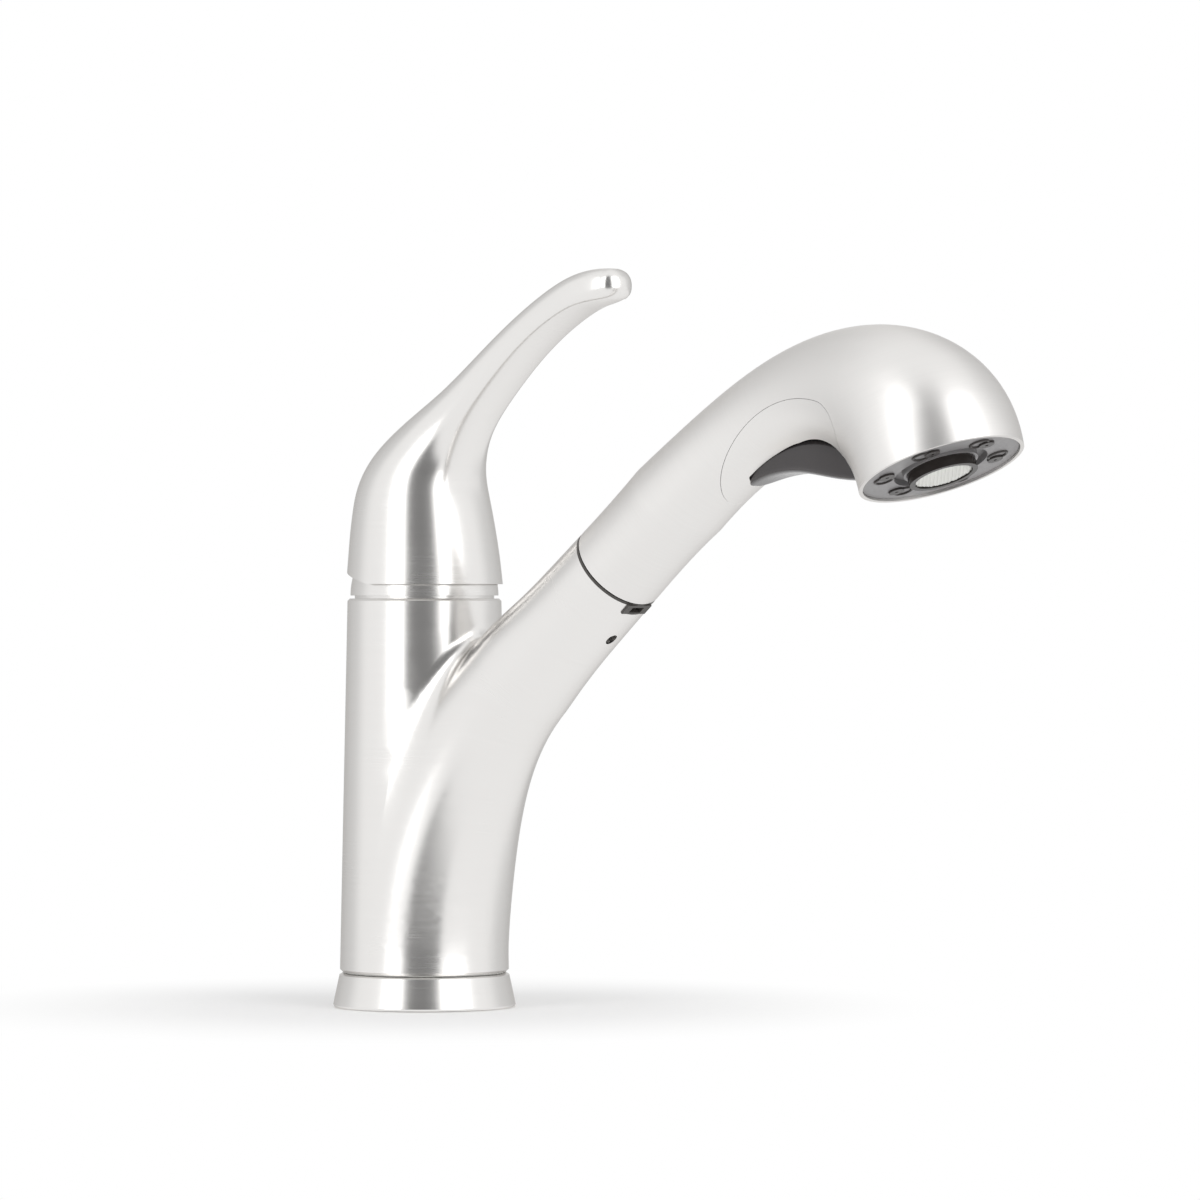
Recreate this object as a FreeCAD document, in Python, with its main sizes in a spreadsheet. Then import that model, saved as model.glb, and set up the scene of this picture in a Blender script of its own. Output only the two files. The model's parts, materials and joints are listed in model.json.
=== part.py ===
import FreeCAD, Part
import math
import os
import Sketcher

# Pull-out kitchen faucet with a single lever, in millimetres and degrees.
# The origin is the centre of the deck plane. +Z is up and the spout points along +X.
# Every piece is symmetric about the plane Y = 0 except where it says otherwise.

SIZES = {
    # base ring and its gasket
    "base_bottom_r": 27.4,
    "base_top_r": 25.5,
    "base_height": 10.0,
    "base_edge": 0.6,
    "base_floor": 3.0,
    "gasket_inner_r": 19.0,
    "gasket_outer_r": 24.0,
    "gasket_thick": 1.6,
    # threaded mounting shank below the deck and the hub above it
    "shank_r": 16.0,
    "shank_neck_r": 15.4,
    "shank_bore_r": 13.7,
    "shank_length": 56.0,
    "hub_r": 16.5,
    "hub_height": 36.0,
    "hub_flange_r": 21.6,
    "hub_flange_thick": 5.6,
    "clip_height": 30.0,
    "clip_thick": 1.4,
    "clip_depth": 0.9,
    "clip_r": 19.4,
    "seam": 0.4,
    # body casting, upright branch
    "body_bottom_r": 25.35,
    "body_top_r": 23.1,
    "body_top": 122.1,
    "body_edge": 0.7,
    "cavity_r": 20.0,
    "core_r": 14.4,
    "core_start": 38.0,
    "pocket_depth": 26.1,
    "pocket_r": 17.9,
    "pocket_floor_thick": 8.0,
    # body casting, spout branch
    "bend_r": 115.0,
    "spout_angle": 38.5,
    "spout_straight": 49.0,
    "spout_root_r": 25.25,
    "spout_foot_r": 24.75,
    "spout_low_r": 23.2,
    "spout_mid_r": 17.9,
    "spout_high_r": 16.7,
    "spout_mouth_r": 14.6,
    "spout_core_r": 11.4,
    "spout_bore_r": 12.0,
    "crotch_top_fillet": 4.0,
    "crotch_low_fillet": 90.0,
    # water tubes
    "tube_r": 3.8,
    "tube_bore_r": 2.8,
    "tube_end_r": 4.4,
    "tube_end_length": 18.0,
    "tube_drop": 20.0,
    "supply_x": -1.5,
    "supply_y": 8.6,
    "mixed_x": -8.5,
    "tube_socket": 4.0,
    # cartridge
    "seal_thick": 1.2,
    "seal_r": 15.5,
    "cartridge_r": 17.5,
    "cartridge_base_thick": 4.0,
    "fixed_disc_r": 15.5,
    "moving_disc_r": 11.5,
    "disc_thick": 3.5,
    "carrier_thick": 3.0,
    "chamber_r": 16.0,
    "rotor_flange_r": 15.3,
    "rotor_flange_thick": 1.8,
    "rotor_neck_r": 9.7,
    "rotor_top": 4.5,
    "rotor_slot_length": 16.4,
    "housing_roof": 3.2,
    "nut_r": 19.3,
    "nut_lip": 2.4,
    "nut_lip_r": 13.0,
    "nut_skirt": 6.0,
    # lever pivot, bonnet and stem
    "pivot_rise": 0.9,
    "bonnet_r": 22.2,
    "bonnet_wall": 2.2,
    "bonnet_neck_r": 20.9,
    "bonnet_seat": 2.5,
    "bonnet_mouth_r": 13.5,
    "stem_r": 3.0,
    "stem_top_r": 4.0,
    "stem_shoulder": 8.0,
    "stem_height": 35.0,
    "ball_drop": 12.0,
    "ball_r": 2.6,
    "ball_neck_r": 1.9,
    "stem_pin_r": 1.5,
    # handle: rim, skirt and lever
    "rim_rise": 3.4,
    "rim_r": 23.8,
    "rim_relief_angle": 13.0,
    "crease_half": 7.4,
    "lever_reach": 81.9,
    "lever_rise": 86.8,
    "tip_angle": 88.0,
    "tip_r": 5.0,
    "tip_cap_r": 5.2,
    "handle_screw_rise": 28.0,
    "handle_screw_r": 2.5,
    "handle_screw_length": 8.0,
    "handle_plug_r": 3.2,
    "handle_plug_thick": 2.0,
    "handle_plug_reach": 20.6,
    # dock at the spout's mouth
    "dock_bore_r": 10.4,
    "dock_flange_r": 14.3,
    "dock_flange_thick": 0.8,
    "dock_depth": 26.0,
    "key_width": 9.4,
    "key_length": 3.4,
    "key_slot_width": 4.6,
    "key_slot_length": 2.2,
    "dock_screw_r": 1.9,
    "dock_screw_back": 15.0,
    "dock_screw_length": 2.4,
    # wand inlet, hose and waterway
    "wand_gap": 0.4,
    "wand_start_r": 14.5,
    "wand_wall": 2.1,
    "nose_length": 20.0,
    "inlet_collar_length": 13.0,
    "inlet_bore_r": 5.0,
    "check_valve_length": 9.0,
    "hose_nut_r": 8.0,
    "hose_nut_length": 13.0,
    "hose_grip": 9.0,
    "hose_r": 5.2,
    "hose_bore_r": 3.5,
    "hose_x": 7.5,
    "hose_bend_r": 100.0,
    "hose_drop": 8.0,
    "waterway_r": 5.0,
    "waterway_bore_r": 3.6,
    # saddle bezel and spray toggle
    "toggle_pin_r": 1.2,
    "toggle_pin_half": 10.1,
    "toggle_pin_x": 16.2,
    "toggle_pin_z": 79.5,
    "toggle_lug_r": 2.6,
    "toggle_lug_width": 6.0,
    "toggle_margin": 0.4,
    "toggle_nose_r": 6.0,
    "toggle_scoop_r": 60.0,
    "toggle_crown_r": 55.0,
    "saddle_front_r": 50.6,
    "saddle_crown_r": 40.0,
    "saddle_rear_r": 8.9,
    "bezel_gap": 0.12,
    # spray head, measured from the lip plane
    "lip_wall": 1.1,
    "face_inset": 0.7,
    "face_thick": 6.3,
    "moat_inner_r": 10.7,
    "moat_outer_r": 13.4,
    "moat_depth": 1.8,
    "nozzle_count": 6,
    "nozzle_start_angle": -5.0,
    "nozzle_circle_r": 16.6,
    "nozzle_r": 2.2,
    "nozzle_hole_r": 0.5,
    "nozzle_stand": 0.6,
    "mat_inner_r": 13.6,
    "mat_outer_r": 19.6,
    "mat_thick": 2.0,
    "aerator_r": 9.8,
    "aerator_bore_r": 8.3,
    "aerator_stand": 2.3,
    "screen_inset": 0.7,
    "screen_thick": 0.8,
    "screen_hole_r": 0.8,
    "screen_pitch": 2.2,
    "diverter_r": 17.5,
    "diverter_length": 7.0,
    "diverter_chamber_r": 7.0,
    "spool_r": 2.4,
    "spool_depth": 12.6,
    "spool_inner": 11.0,
    "spool_outer": 18.2,
    # clearances
    "fit_gap": 0.1,
    "run_gap": 0.05,
    "free_gap": 0.3,
}

# Tables of sections and outline points. Each number joins the sizes under its own name, such as
# wand2_r for the r of the wand's third row.

TABLES = {
    # round sections of the handle's skirt, by their rise over the rim
    "skirt": ("x rise angle r", [
        (0.0, 8.0, 0.0, 23.45),
        (0.0, 16.6, 0.0, 22.35),
        (0.0, 23.5, 0.0, 21.25),
        (1.0, 29.3, 7.2, 20.4),
    ]),
    # oval sections of the lever: half depth, half width, depth of the underside, half crease spacing
    "lever": ("x rise angle depth width under crease", [
        (7.6, 40.2, 31.6, 13.4, 15.2, 12.9, 7.4),
        (20.2, 53.2, 51.7, 7.8, 10.5, 7.0, 7.4),
        (41.5, 70.3, 54.5, 6.0, 9.0, 5.1, 7.4),
        (54.0, 78.3, 59.0, 5.7, 8.7, 4.7, 7.4),
        (66.0, 84.2, 67.0, 5.7, 8.5, 5.2, 7.2),
        (73.2, 86.0, 77.0, 5.7, 7.6, 6.0, 6.6),
        (78.3, 86.6, 84.0, 5.6, 6.6, 5.6, 5.8),
    ]),
    # round sections of the wand: x towards its underside, z along the spout's axis
    "wand": ("x z angle r", [
        (0.8, 39.8, 5.6, 14.2),
        (5.5, 73.9, 11.8, 14.5),
        (15.8, 97.6, 34.8, 17.4),
        (32.7, 113.9, 64.8, 21.9),
        (57.4, 115.1, 106.4, 23.7),
    ]),
    # end of the tube inside the wand, past the sections that it shares with the wand
    "waterway": ("x z angle", [
        (31.0, 112.0, 60.0),
        (44.0, 118.2, 72.0),
    ]),
    # bezel seen from the side, with the direction in which each corner moves when the outline grows
    "saddle": ("x z angle", [
        (16.5, 46.0, 215.0),
        (9.2, 75.0, 177.0),
        (23.6, 103.3, 131.0),
        (37.5, 101.0, 62.0),
        (46.0, 96.5, 40.0),
        (48.0, 86.0, 0.0),
        (26.0, 44.0, 270.0),
    ]),
    # toggle seen from the side: nose, finger face, rear end and crown
    "toggle_side": ("x z", [
        (14.2, 58.0),
        (17.8, 58.0),
        (31.5, 81.8),
        (45.0, 94.4),
        (40.8, 97.6),
        (33.5, 98.8),
    ]),
    # toggle seen from below, on the +Y side
    "toggle_plan": ("y z", [
        (4.8, 61.0),
        (7.4, 76.0),
        (9.6, 85.5),
        (13.9, 98.0),
        (14.4, 104.0),
    ]),
}
for table, (columns, rows) in TABLES.items():
    for index, row in enumerate(rows):
        for column, number in zip(columns.split(), row):
            SIZES[f"{table}{index}_{column}"] = number


class Size:
    """A number together with the sheet expression that gives it."""

    def __init__(self, text, value):
        self.text = text
        self.value = value

    def joined(self, sign, other, value):
        return Size(f"({self.text} {sign} {other.text})", value)

    def __add__(self, other):
        other = as_size(other)
        return self.joined("+", other, self.value + other.value)

    def __sub__(self, other):
        other = as_size(other)
        return self.joined("-", other, self.value - other.value)

    def __mul__(self, other):
        other = as_size(other)
        return self.joined("*", other, self.value * other.value)

    def __truediv__(self, other):
        other = as_size(other)
        return self.joined("/", other, self.value / other.value)

    def __radd__(self, other):
        return as_size(other) + self

    def __rsub__(self, other):
        return as_size(other) - self

    def __rmul__(self, other):
        return as_size(other) * self

    def __neg__(self):
        return as_size(0) - self


def as_size(number):
    return number if isinstance(number, Size) else Size(f"({number})", float(number))


def sin(angle):
    angle = as_size(angle)
    return Size(f"sin({angle.text} * 1deg)", math.sin(math.radians(angle.value)))


def cos(angle):
    angle = as_size(angle)
    return Size(f"cos({angle.text} * 1deg)", math.cos(math.radians(angle.value)))


def tan(angle):
    return sin(angle) / cos(angle)


def root(number):
    return Size(f"sqrt({number.text})", math.sqrt(number.value))


class Frame:
    """A place in the plane Y = 0: a point and a turn about +Y."""

    def __init__(self, x=0, z=0, turn=0):
        self.x = as_size(x)
        self.z = as_size(z)
        self.turn = as_size(turn)

    def at(self, x, z, turn=0):
        """The frame at (x, z) of this one, turned by turn more."""
        new_x = self.x + x * cos(self.turn) + z * sin(self.turn)
        new_z = self.z - x * sin(self.turn) + z * cos(self.turn)
        return Frame(new_x, new_z, self.turn + turn)


doc = FreeCAD.newDocument("pull_out_faucet")
sheet = doc.addObject("Spreadsheet::Sheet", "dims")
for row, (name, number) in enumerate(SIZES.items(), start=1):
    sheet.set(f"A{row}", str(number))
    sheet.setAlias(f"A{row}", name)
doc.recompute()


class Driving:
    """The sheet's values by name."""


d = Driving()
for name, number in SIZES.items():
    setattr(d, name, Size(f"dims.{name}", number))


def rows_of(table):
    """The rows of a table, as sheet values."""
    columns, rows = TABLES[table]
    names = [[f"{table}{index}_{column}" for column in columns.split()] for index in range(len(rows))]
    return [[getattr(d, name) for name in row] for row in names]


def bind(thing, path, size):
    if "dims." in size.text:
        thing.setExpression(path, size.text)


def place(thing, frame, y=0, path="Placement"):
    y = as_size(y)
    turn = FreeCAD.Rotation(FreeCAD.Vector(0, 1, 0), frame.turn.value)
    setattr(thing, path, FreeCAD.Placement(FreeCAD.Vector(frame.x.value, y.value, frame.z.value), turn))
    bind(thing, path + ".Base.x", frame.x)
    bind(thing, path + ".Base.y", y)
    bind(thing, path + ".Base.z", frame.z)
    bind(thing, path + ".Rotation.Angle", frame.turn)


def new_body(name, frame=None):
    body = doc.addObject("PartDesign::Body", name)
    if frame:
        place(body, frame)
    return body


def sketch_on(body, name, role, frame=None):
    """A sketch on one of the body's own origin planes, moved to a frame if one is given."""
    plane = next(item for item in body.Origin.OriginFeatures if item.Role == role)
    sketch = body.newObject("Sketcher::SketchObject", name)
    sketch.AttachmentSupport = [(plane, "")]
    sketch.MapMode = "FlatFace"
    if frame:
        place(sketch, frame, path="AttachmentOffset")
    return sketch


def hold(sketch, kind, *refs_and_size):
    """Add a dimension to the sketch and bind it to its sheet expression."""
    *refs, size = refs_and_size
    size = as_size(size)
    index = sketch.addConstraint(Sketcher.Constraint(kind, *refs, size.value))
    bind(sketch, f"Constraints[{index}]", size)


def hold_point(sketch, edge, end, x, y):
    hold(sketch, "DistanceX", -1, 1, edge, end, x)
    hold(sketch, "DistanceY", -1, 1, edge, end, y)


def arc_between(start, end, radius):
    """Arc from start to end. A positive radius turns left on the way, a negative one right."""
    chord = end - start
    left = FreeCAD.Vector(-chord.y, chord.x, 0).normalize()
    rise = math.sqrt(max(radius * radius - chord.Length ** 2 / 4, 0))
    centre = (start + end) / 2 + left * (rise if radius > 0 else -rise)
    first, last = (start, end) if radius > 0 else (end, start)
    angles = [math.atan2(point.y - centre.y, point.x - centre.x) for point in (first, last)]
    if angles[1] < angles[0]:
        angles[1] += 2 * math.pi
    return Part.ArcOfCircle(Part.Circle(centre, FreeCAD.Vector(0, 0, 1), abs(radius)), *angles)


def outline(sketch, points, arcs=None, closed=True):
    """A chain of lines through the points. arcs gives the radius of each segment that is an arc."""
    arcs = arcs or {}
    points = [(as_size(x), as_size(y)) for x, y in points]
    vectors = [FreeCAD.Vector(x.value, y.value, 0) for x, y in points]
    ends = []
    for index in range(len(points) if closed else len(points) - 1):
        start = vectors[index]
        end = vectors[(index + 1) % len(points)]
        if index in arcs:
            radius = as_size(arcs[index])
            edge = sketch.addGeometry(arc_between(start, end, radius.value))
            ends.append((edge, 1, 2) if radius.value > 0 else (edge, 2, 1))
        else:
            edge = sketch.addGeometry(Part.LineSegment(start, end))
            ends.append((edge, 1, 2))
    for index, (edge, first, last) in enumerate(ends):
        if closed or index + 1 < len(ends):
            following, its_first, _ = ends[(index + 1) % len(ends)]
            sketch.addConstraint(Sketcher.Constraint("Coincident", edge, last, following, its_first))
        hold_point(sketch, edge, first, *points[index])
    if not closed:
        edge, _, last = ends[-1]
        hold_point(sketch, edge, last, *points[-1])
    for index, radius in arcs.items():
        radius = as_size(radius)
        hold(sketch, "Radius", ends[index][0], radius if radius.value > 0 else -radius)


def add_circle(sketch, x, y, radius):
    x, y, radius = as_size(x), as_size(y), as_size(radius)
    centre = FreeCAD.Vector(x.value, y.value, 0)
    circle = sketch.addGeometry(Part.Circle(centre, FreeCAD.Vector(0, 0, 1), radius.value))
    hold_point(sketch, circle, 3, x, y)
    hold(sketch, "Radius", circle, radius)


def turned(body, name, points, arcs=None, cut=False):
    """Turn an outline of (radius, height) points about the body's Z axis."""
    sketch = sketch_on(body, name + "_outline", "XZ_Plane")
    outline(sketch, points, arcs)
    feature = body.newObject("PartDesign::Groove" if cut else "PartDesign::Revolution", name)
    feature.Profile = sketch
    feature.ReferenceAxis = (sketch, ["V_Axis"])
    feature.Angle = 360
    return feature


def slab(body, name, role, points, width, arcs=None, cut=False):
    """Extrude an outline by width, half to each side of the body's own plane."""
    sketch = sketch_on(body, name + "_outline", role)
    outline(sketch, points, arcs)
    feature = body.newObject("PartDesign::Pocket" if cut else "PartDesign::Pad", name)
    feature.Profile = sketch
    feature.Midplane = True
    feature.Length = as_size(width).value
    bind(feature, "Length", as_size(width))
    return feature


def posts(body, name, circles, bottom, top, cut=False):
    """Round posts, or holes, given as (x, y, radius) and standing from bottom to top along Z."""
    bottom, top = as_size(bottom), as_size(top)
    sketch = sketch_on(body, name + "_circles", "XY_Plane", Frame(0, top if cut else bottom))
    for circle in circles:
        add_circle(sketch, *circle)
    feature = body.newObject("PartDesign::Pocket" if cut else "PartDesign::Pad", name)
    feature.Profile = sketch
    feature.Length = (top - bottom).value
    bind(feature, "Length", top - bottom)
    return feature


def lofted(body, name, rings, cut=False):
    """A smooth tube through circles given as (frame, radius)."""
    sketches = []
    for index, (frame, radius) in enumerate(rings):
        sketch = sketch_on(body, f"{name}_ring{index}", "XY_Plane", frame)
        add_circle(sketch, 0, 0, radius)
        sketches.append(sketch)
    feature = body.newObject("PartDesign::SubtractiveLoft" if cut else "PartDesign::AdditiveLoft", name)
    feature.Profile = sketches[0]
    feature.Sections = sketches[1:]
    return feature


def cylinder(name, radius, frame, start, end):
    """A cylinder along the frame's own Z axis."""
    thing = doc.addObject("Part::Cylinder", name)
    thing.Radius = as_size(radius).value
    thing.Height = as_size(end - start).value
    bind(thing, "Radius", as_size(radius))
    bind(thing, "Height", as_size(end - start))
    place(thing, frame.at(0, start))
    return thing


def cross_cylinder(name, radius, frame, half):
    """A cylinder along Y, centred on the frame's point."""
    thing = doc.addObject("Part::Cylinder", name)
    thing.Radius = as_size(radius).value
    thing.Height = as_size(half * 2).value
    bind(thing, "Radius", as_size(radius))
    bind(thing, "Height", as_size(half * 2))
    thing.Placement = FreeCAD.Placement(
        FreeCAD.Vector(frame.x.value, -half.value, frame.z.value),
        FreeCAD.Rotation(FreeCAD.Vector(1, 0, 0), -90),
    )
    bind(thing, "Placement.Base.x", frame.x)
    bind(thing, "Placement.Base.y", -half)
    bind(thing, "Placement.Base.z", frame.z)
    return thing


def block(name, frame, low_x, high_x, width, low_z, high_z):
    """A box in the frame, centred across Y."""
    low_x, high_x, low_z, high_z, width = (as_size(v) for v in (low_x, high_x, low_z, high_z, width))
    thing = doc.addObject("Part::Box", name)
    for side, size in (("Length", high_x - low_x), ("Width", width), ("Height", high_z - low_z)):
        setattr(thing, side, size.value)
        bind(thing, side, size)
    place(thing, frame.at(low_x, low_z), -width / 2)
    return thing


def combined(kind, name, base, tool):
    thing = doc.addObject(kind, name)
    thing.Base = base
    thing.Tool = tool
    thing.Refine = False
    return thing


def cut_by(name, base, tools):
    """The base less each tool in turn. The last cut carries the name."""
    for index, tool in enumerate(tools):
        last = index == len(tools) - 1
        base = combined("Part::Cut", name if last else f"{name}_cut{index}", base, tool)
    return base


pieces = {}


def piece(name, thing):
    """Keep a finished sub-part under its node name."""
    thing.Label = name
    pieces[name] = thing


def turned_piece(name, points, frame=None, arcs=None):
    body = new_body(name, frame)
    turned(body, name + "_turn", points, arcs)
    piece(name, body)
    return body


def washer(inner, outer, bottom, top):
    return [(inner, bottom), (outer, bottom), (outer, top), (inner, top)]


# Places that several pieces share

body_bottom = d.base_height + d.seam
hub_top_face = d.base_floor + d.hub_flange_thick
pocket_floor = d.body_top - d.pocket_depth
pocket_under = pocket_floor - d.pocket_floor_thick
bonnet_floor = d.body_top - d.bonnet_seat
pivot_z = d.body_top + d.pivot_rise
rim_z = pivot_z + d.rim_rise
bend_end = 90 - d.spout_angle


def spout_station(share):
    """The frame on the spout's centre line at a share of its bend."""
    angle = bend_end * share
    return Frame(d.bend_r * (1 - cos(angle)), body_bottom + d.bend_r * sin(angle), angle)


joint = spout_station(1).at(0, d.spout_straight)
base_z = pocket_floor + d.seal_thick
disc_z = base_z + d.cartridge_base_thick
moving_z = disc_z + d.disc_thick
carrier_z = moving_z + d.disc_thick
rotor_z = carrier_z + d.carrier_thick + d.free_gap
chamber_top = rotor_z + d.rotor_flange_thick + d.free_gap
housing_top = chamber_top + d.housing_roof
ports = [(d.supply_x, d.supply_y), (d.supply_x, -d.supply_y), (d.mixed_x, as_size(0))]
pivot = Frame(0, pivot_z)


# Base ring, gasket and the shank with the hub that the body swivels on

turned_piece("base_ring", [
    (d.shank_r + d.free_gap, 0),
    (d.gasket_inner_r - d.fit_gap, 0),
    (d.gasket_inner_r - d.fit_gap, d.gasket_thick),
    (d.gasket_outer_r + d.fit_gap, d.gasket_thick),
    (d.gasket_outer_r + d.fit_gap, 0),
    (d.base_bottom_r - d.base_edge / 2, 0),
    (d.base_bottom_r, d.base_edge),
    (d.base_top_r, d.base_height - d.base_edge),
    (d.base_top_r - d.base_edge * 1.6, d.base_height),
    (d.hub_flange_r + d.free_gap, d.base_height),
    (d.hub_flange_r + d.free_gap, d.base_floor),
    (d.shank_r + d.free_gap, d.base_floor),
])
turned_piece("deck_gasket", washer(d.gasket_inner_r, d.gasket_outer_r, 0, d.gasket_thick))
turned_piece("mounting_shank", [
    (d.shank_bore_r, -d.shank_length),
    (d.shank_r, -d.shank_length),
    (d.shank_r, 0),
    (d.shank_neck_r, 0),
    (d.shank_neck_r, d.base_floor),
    (d.hub_flange_r, d.base_floor),
    (d.hub_flange_r, hub_top_face),
    (d.hub_r, hub_top_face),
    (d.hub_r, d.clip_height),
    (d.hub_r - d.clip_depth, d.clip_height),
    (d.hub_r - d.clip_depth, d.clip_height + d.clip_thick),
    (d.hub_r, d.clip_height + d.clip_thick),
    (d.hub_r, d.hub_height),
    (d.shank_bore_r, d.hub_height),
])
lip_low = d.base_height + d.run_gap
lip_high = body_bottom - d.run_gap
turned_piece("glide_ring", [
    (d.hub_r + d.free_gap, hub_top_face),
    (d.hub_flange_r, hub_top_face),
    (d.hub_flange_r, lip_low),
    (d.body_bottom_r - d.body_edge * 2, lip_low),
    (d.body_bottom_r - d.body_edge * 2, lip_high),
    (d.hub_r + d.free_gap, lip_high),
])
turned_piece("hub_clip", washer(
    d.hub_r - d.clip_depth + d.run_gap,
    d.clip_r,
    d.clip_height + d.run_gap,
    d.clip_height + d.clip_thick - d.run_gap,
))


# Body casting: an upright cone and a curved spout branch, cored for the cartridge and the hose

outside = new_body("casting_outside")
turned(outside, "upright", [
    (0, body_bottom),
    (d.body_bottom_r, body_bottom),
    (d.body_top_r, d.body_top - d.body_edge),
    (d.body_top_r - d.body_edge, d.body_top),
    (0, d.body_top),
])
branch = lofted(outside, "spout_branch", [
    (spout_station(0), d.spout_root_r),
    (spout_station(0.2), d.spout_foot_r),
    (spout_station(0.4), d.spout_low_r),
    (spout_station(0.8), d.spout_mid_r),
    (spout_station(1), d.spout_high_r),
    (joint, d.spout_mouth_r),
])
doc.recompute()


def crease_edges(shape):
    """The edges where the spout branch leaves the cone, as (number, runs upwards)."""
    found = []
    for number, edge in enumerate(shape.Edges, start=1):
        free_curve = edge.Curve.TypeId == "Part::GeomBSplineCurve"
        box = edge.BoundBox
        off_plane = max(abs(box.YMin), abs(box.YMax)) > 1
        tall = box.ZLength > d.body_top.value / 2
        if free_curve and off_plane and tall:
            upwards = edge.valueAt(edge.LastParameter).z > edge.valueAt(edge.FirstParameter).z
            found.append((number, upwards))
    return found


# The valley between cone and spout is tight at the top of the crotch and widens down both sides
crotch = doc.addObject("Part::Fillet", "crotch_round")
crotch.Base = outside
radii = (d.crotch_low_fillet.value, d.crotch_top_fillet.value)
crotch.Edges = [
    (number, *(radii if upwards else radii[::-1]))
    for number, upwards in crease_edges(branch.Shape)
]
casting = new_body("casting")
casting.BaseFeature = crotch
turned(casting, "bottom_edge", [
    (d.body_bottom_r - d.body_edge, body_bottom),
    (d.body_bottom_r - d.body_edge, body_bottom - 1),
    (d.body_bottom_r + 1, body_bottom - 1),
    (d.body_bottom_r + 1, body_bottom + d.body_edge + 1),
], cut=True)
turned(casting, "hub_cavity", [
    (0, body_bottom - 1),
    (d.cavity_r, body_bottom - 1),
    (d.cavity_r, d.core_start),
    (d.core_r, d.core_start),
    (d.core_r, pocket_under),
    (0, pocket_under),
], cut=True)
turned(casting, "cartridge_pocket", [
    (0, pocket_floor),
    (d.pocket_r, pocket_floor),
    (d.pocket_r, housing_top - d.nut_skirt - d.free_gap),
    (d.nut_r + d.fit_gap, housing_top - d.nut_skirt - d.free_gap),
    (d.nut_r + d.fit_gap, bonnet_floor),
    (d.bonnet_neck_r + d.fit_gap, bonnet_floor),
    (d.bonnet_neck_r + d.fit_gap, d.body_top + 1),
    (0, d.body_top + 1),
], cut=True)
lofted(casting, "spout_core", [
    (spout_station(0.2), d.spout_core_r),
    (spout_station(0.4), d.spout_core_r),
    (spout_station(0.8), d.spout_core_r),
    (spout_station(1), d.spout_core_r),
], cut=True)
tube_top = pocket_under + d.tube_socket
posts(casting, "tube_sockets", [(x, y, d.tube_r + d.fit_gap) for x, y in ports],
      pocket_under - 1, tube_top, cut=True)
posts(casting, "water_ports", [(x, y, d.tube_bore_r) for x, y in ports],
      tube_top - 1, pocket_floor + 1, cut=True)
straight_bore = cylinder("straight_bore", d.spout_bore_r, joint, -d.spout_straight - 2, 1)
key_notch = block("key_notch", joint, d.dock_bore_r, d.spout_mouth_r + 3, d.key_width + d.fit_gap * 2,
                  -d.key_length - d.fit_gap, 1)
screw_frame = joint.at(0, -d.dock_screw_back, 90)
screw_hole = cylinder("dock_screw_hole", d.dock_screw_r + d.fit_gap, screw_frame,
                      d.dock_bore_r, d.spout_mouth_r + 6)
piece("body_casting", cut_by("body_casting", casting, [straight_bore, key_notch, screw_hole]))

turned_piece("swivel_bush", washer(
    d.hub_r + d.run_gap,
    d.cavity_r - d.fit_gap,
    body_bottom + d.free_gap,
    d.clip_height - d.free_gap,
))


# Water tubes that hang from the cartridge seat through the shank

tube_low = -d.shank_length - d.tube_drop
for name, (x, y) in zip(("hot_tube", "cold_tube", "mixed_tube"), ports):
    tube = new_body(name)
    posts(tube, name + "_wall", [(x, y, d.tube_r)], tube_low, tube_top)
    posts(tube, name + "_end", [(x, y, d.tube_end_r)], tube_low, tube_low + d.tube_end_length)
    posts(tube, name + "_bore", [(x, y, d.tube_bore_r)], tube_low, tube_top, cut=True)
    piece(name, tube)


# Ceramic cartridge

def ported_disc(name, radius, bottom, top):
    body = new_body(name)
    posts(body, name + "_disc", [(0, 0, radius)], bottom, top)
    posts(body, name + "_ports", [(x, y, d.tube_bore_r) for x, y in ports], bottom, top, cut=True)
    piece(name, body)


ported_disc("port_seal", d.seal_r, pocket_floor, base_z)
ported_disc("cartridge_base", d.cartridge_r, base_z, disc_z)
ported_disc("fixed_disc", d.fixed_disc_r, disc_z, moving_z)
turned_piece("moving_disc", [
    (0, carrier_z - d.disc_thick / 3),
    (d.moving_disc_r / 2, carrier_z - d.disc_thick / 3),
    (d.moving_disc_r / 2, moving_z),
    (d.moving_disc_r, moving_z),
    (d.moving_disc_r, carrier_z),
    (0, carrier_z),
])
turned_piece("disc_carrier", washer(
    d.ball_r + d.free_gap,
    d.moving_disc_r,
    carrier_z,
    carrier_z + d.carrier_thick,
))
turned_piece("cartridge_housing", [
    (d.chamber_r, disc_z),
    (d.cartridge_r, disc_z),
    (d.cartridge_r, housing_top),
    (d.rotor_neck_r + d.free_gap, housing_top),
    (d.rotor_neck_r + d.free_gap, chamber_top),
    (d.chamber_r, chamber_top),
])
turned_piece("cartridge_nut", [
    (d.cartridge_r + d.free_gap, housing_top - d.nut_skirt),
    (d.nut_r, housing_top - d.nut_skirt),
    (d.nut_r, housing_top + d.nut_lip),
    (d.nut_lip_r, housing_top + d.nut_lip),
    (d.nut_lip_r, housing_top),
    (d.cartridge_r + d.free_gap, housing_top),
])

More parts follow.
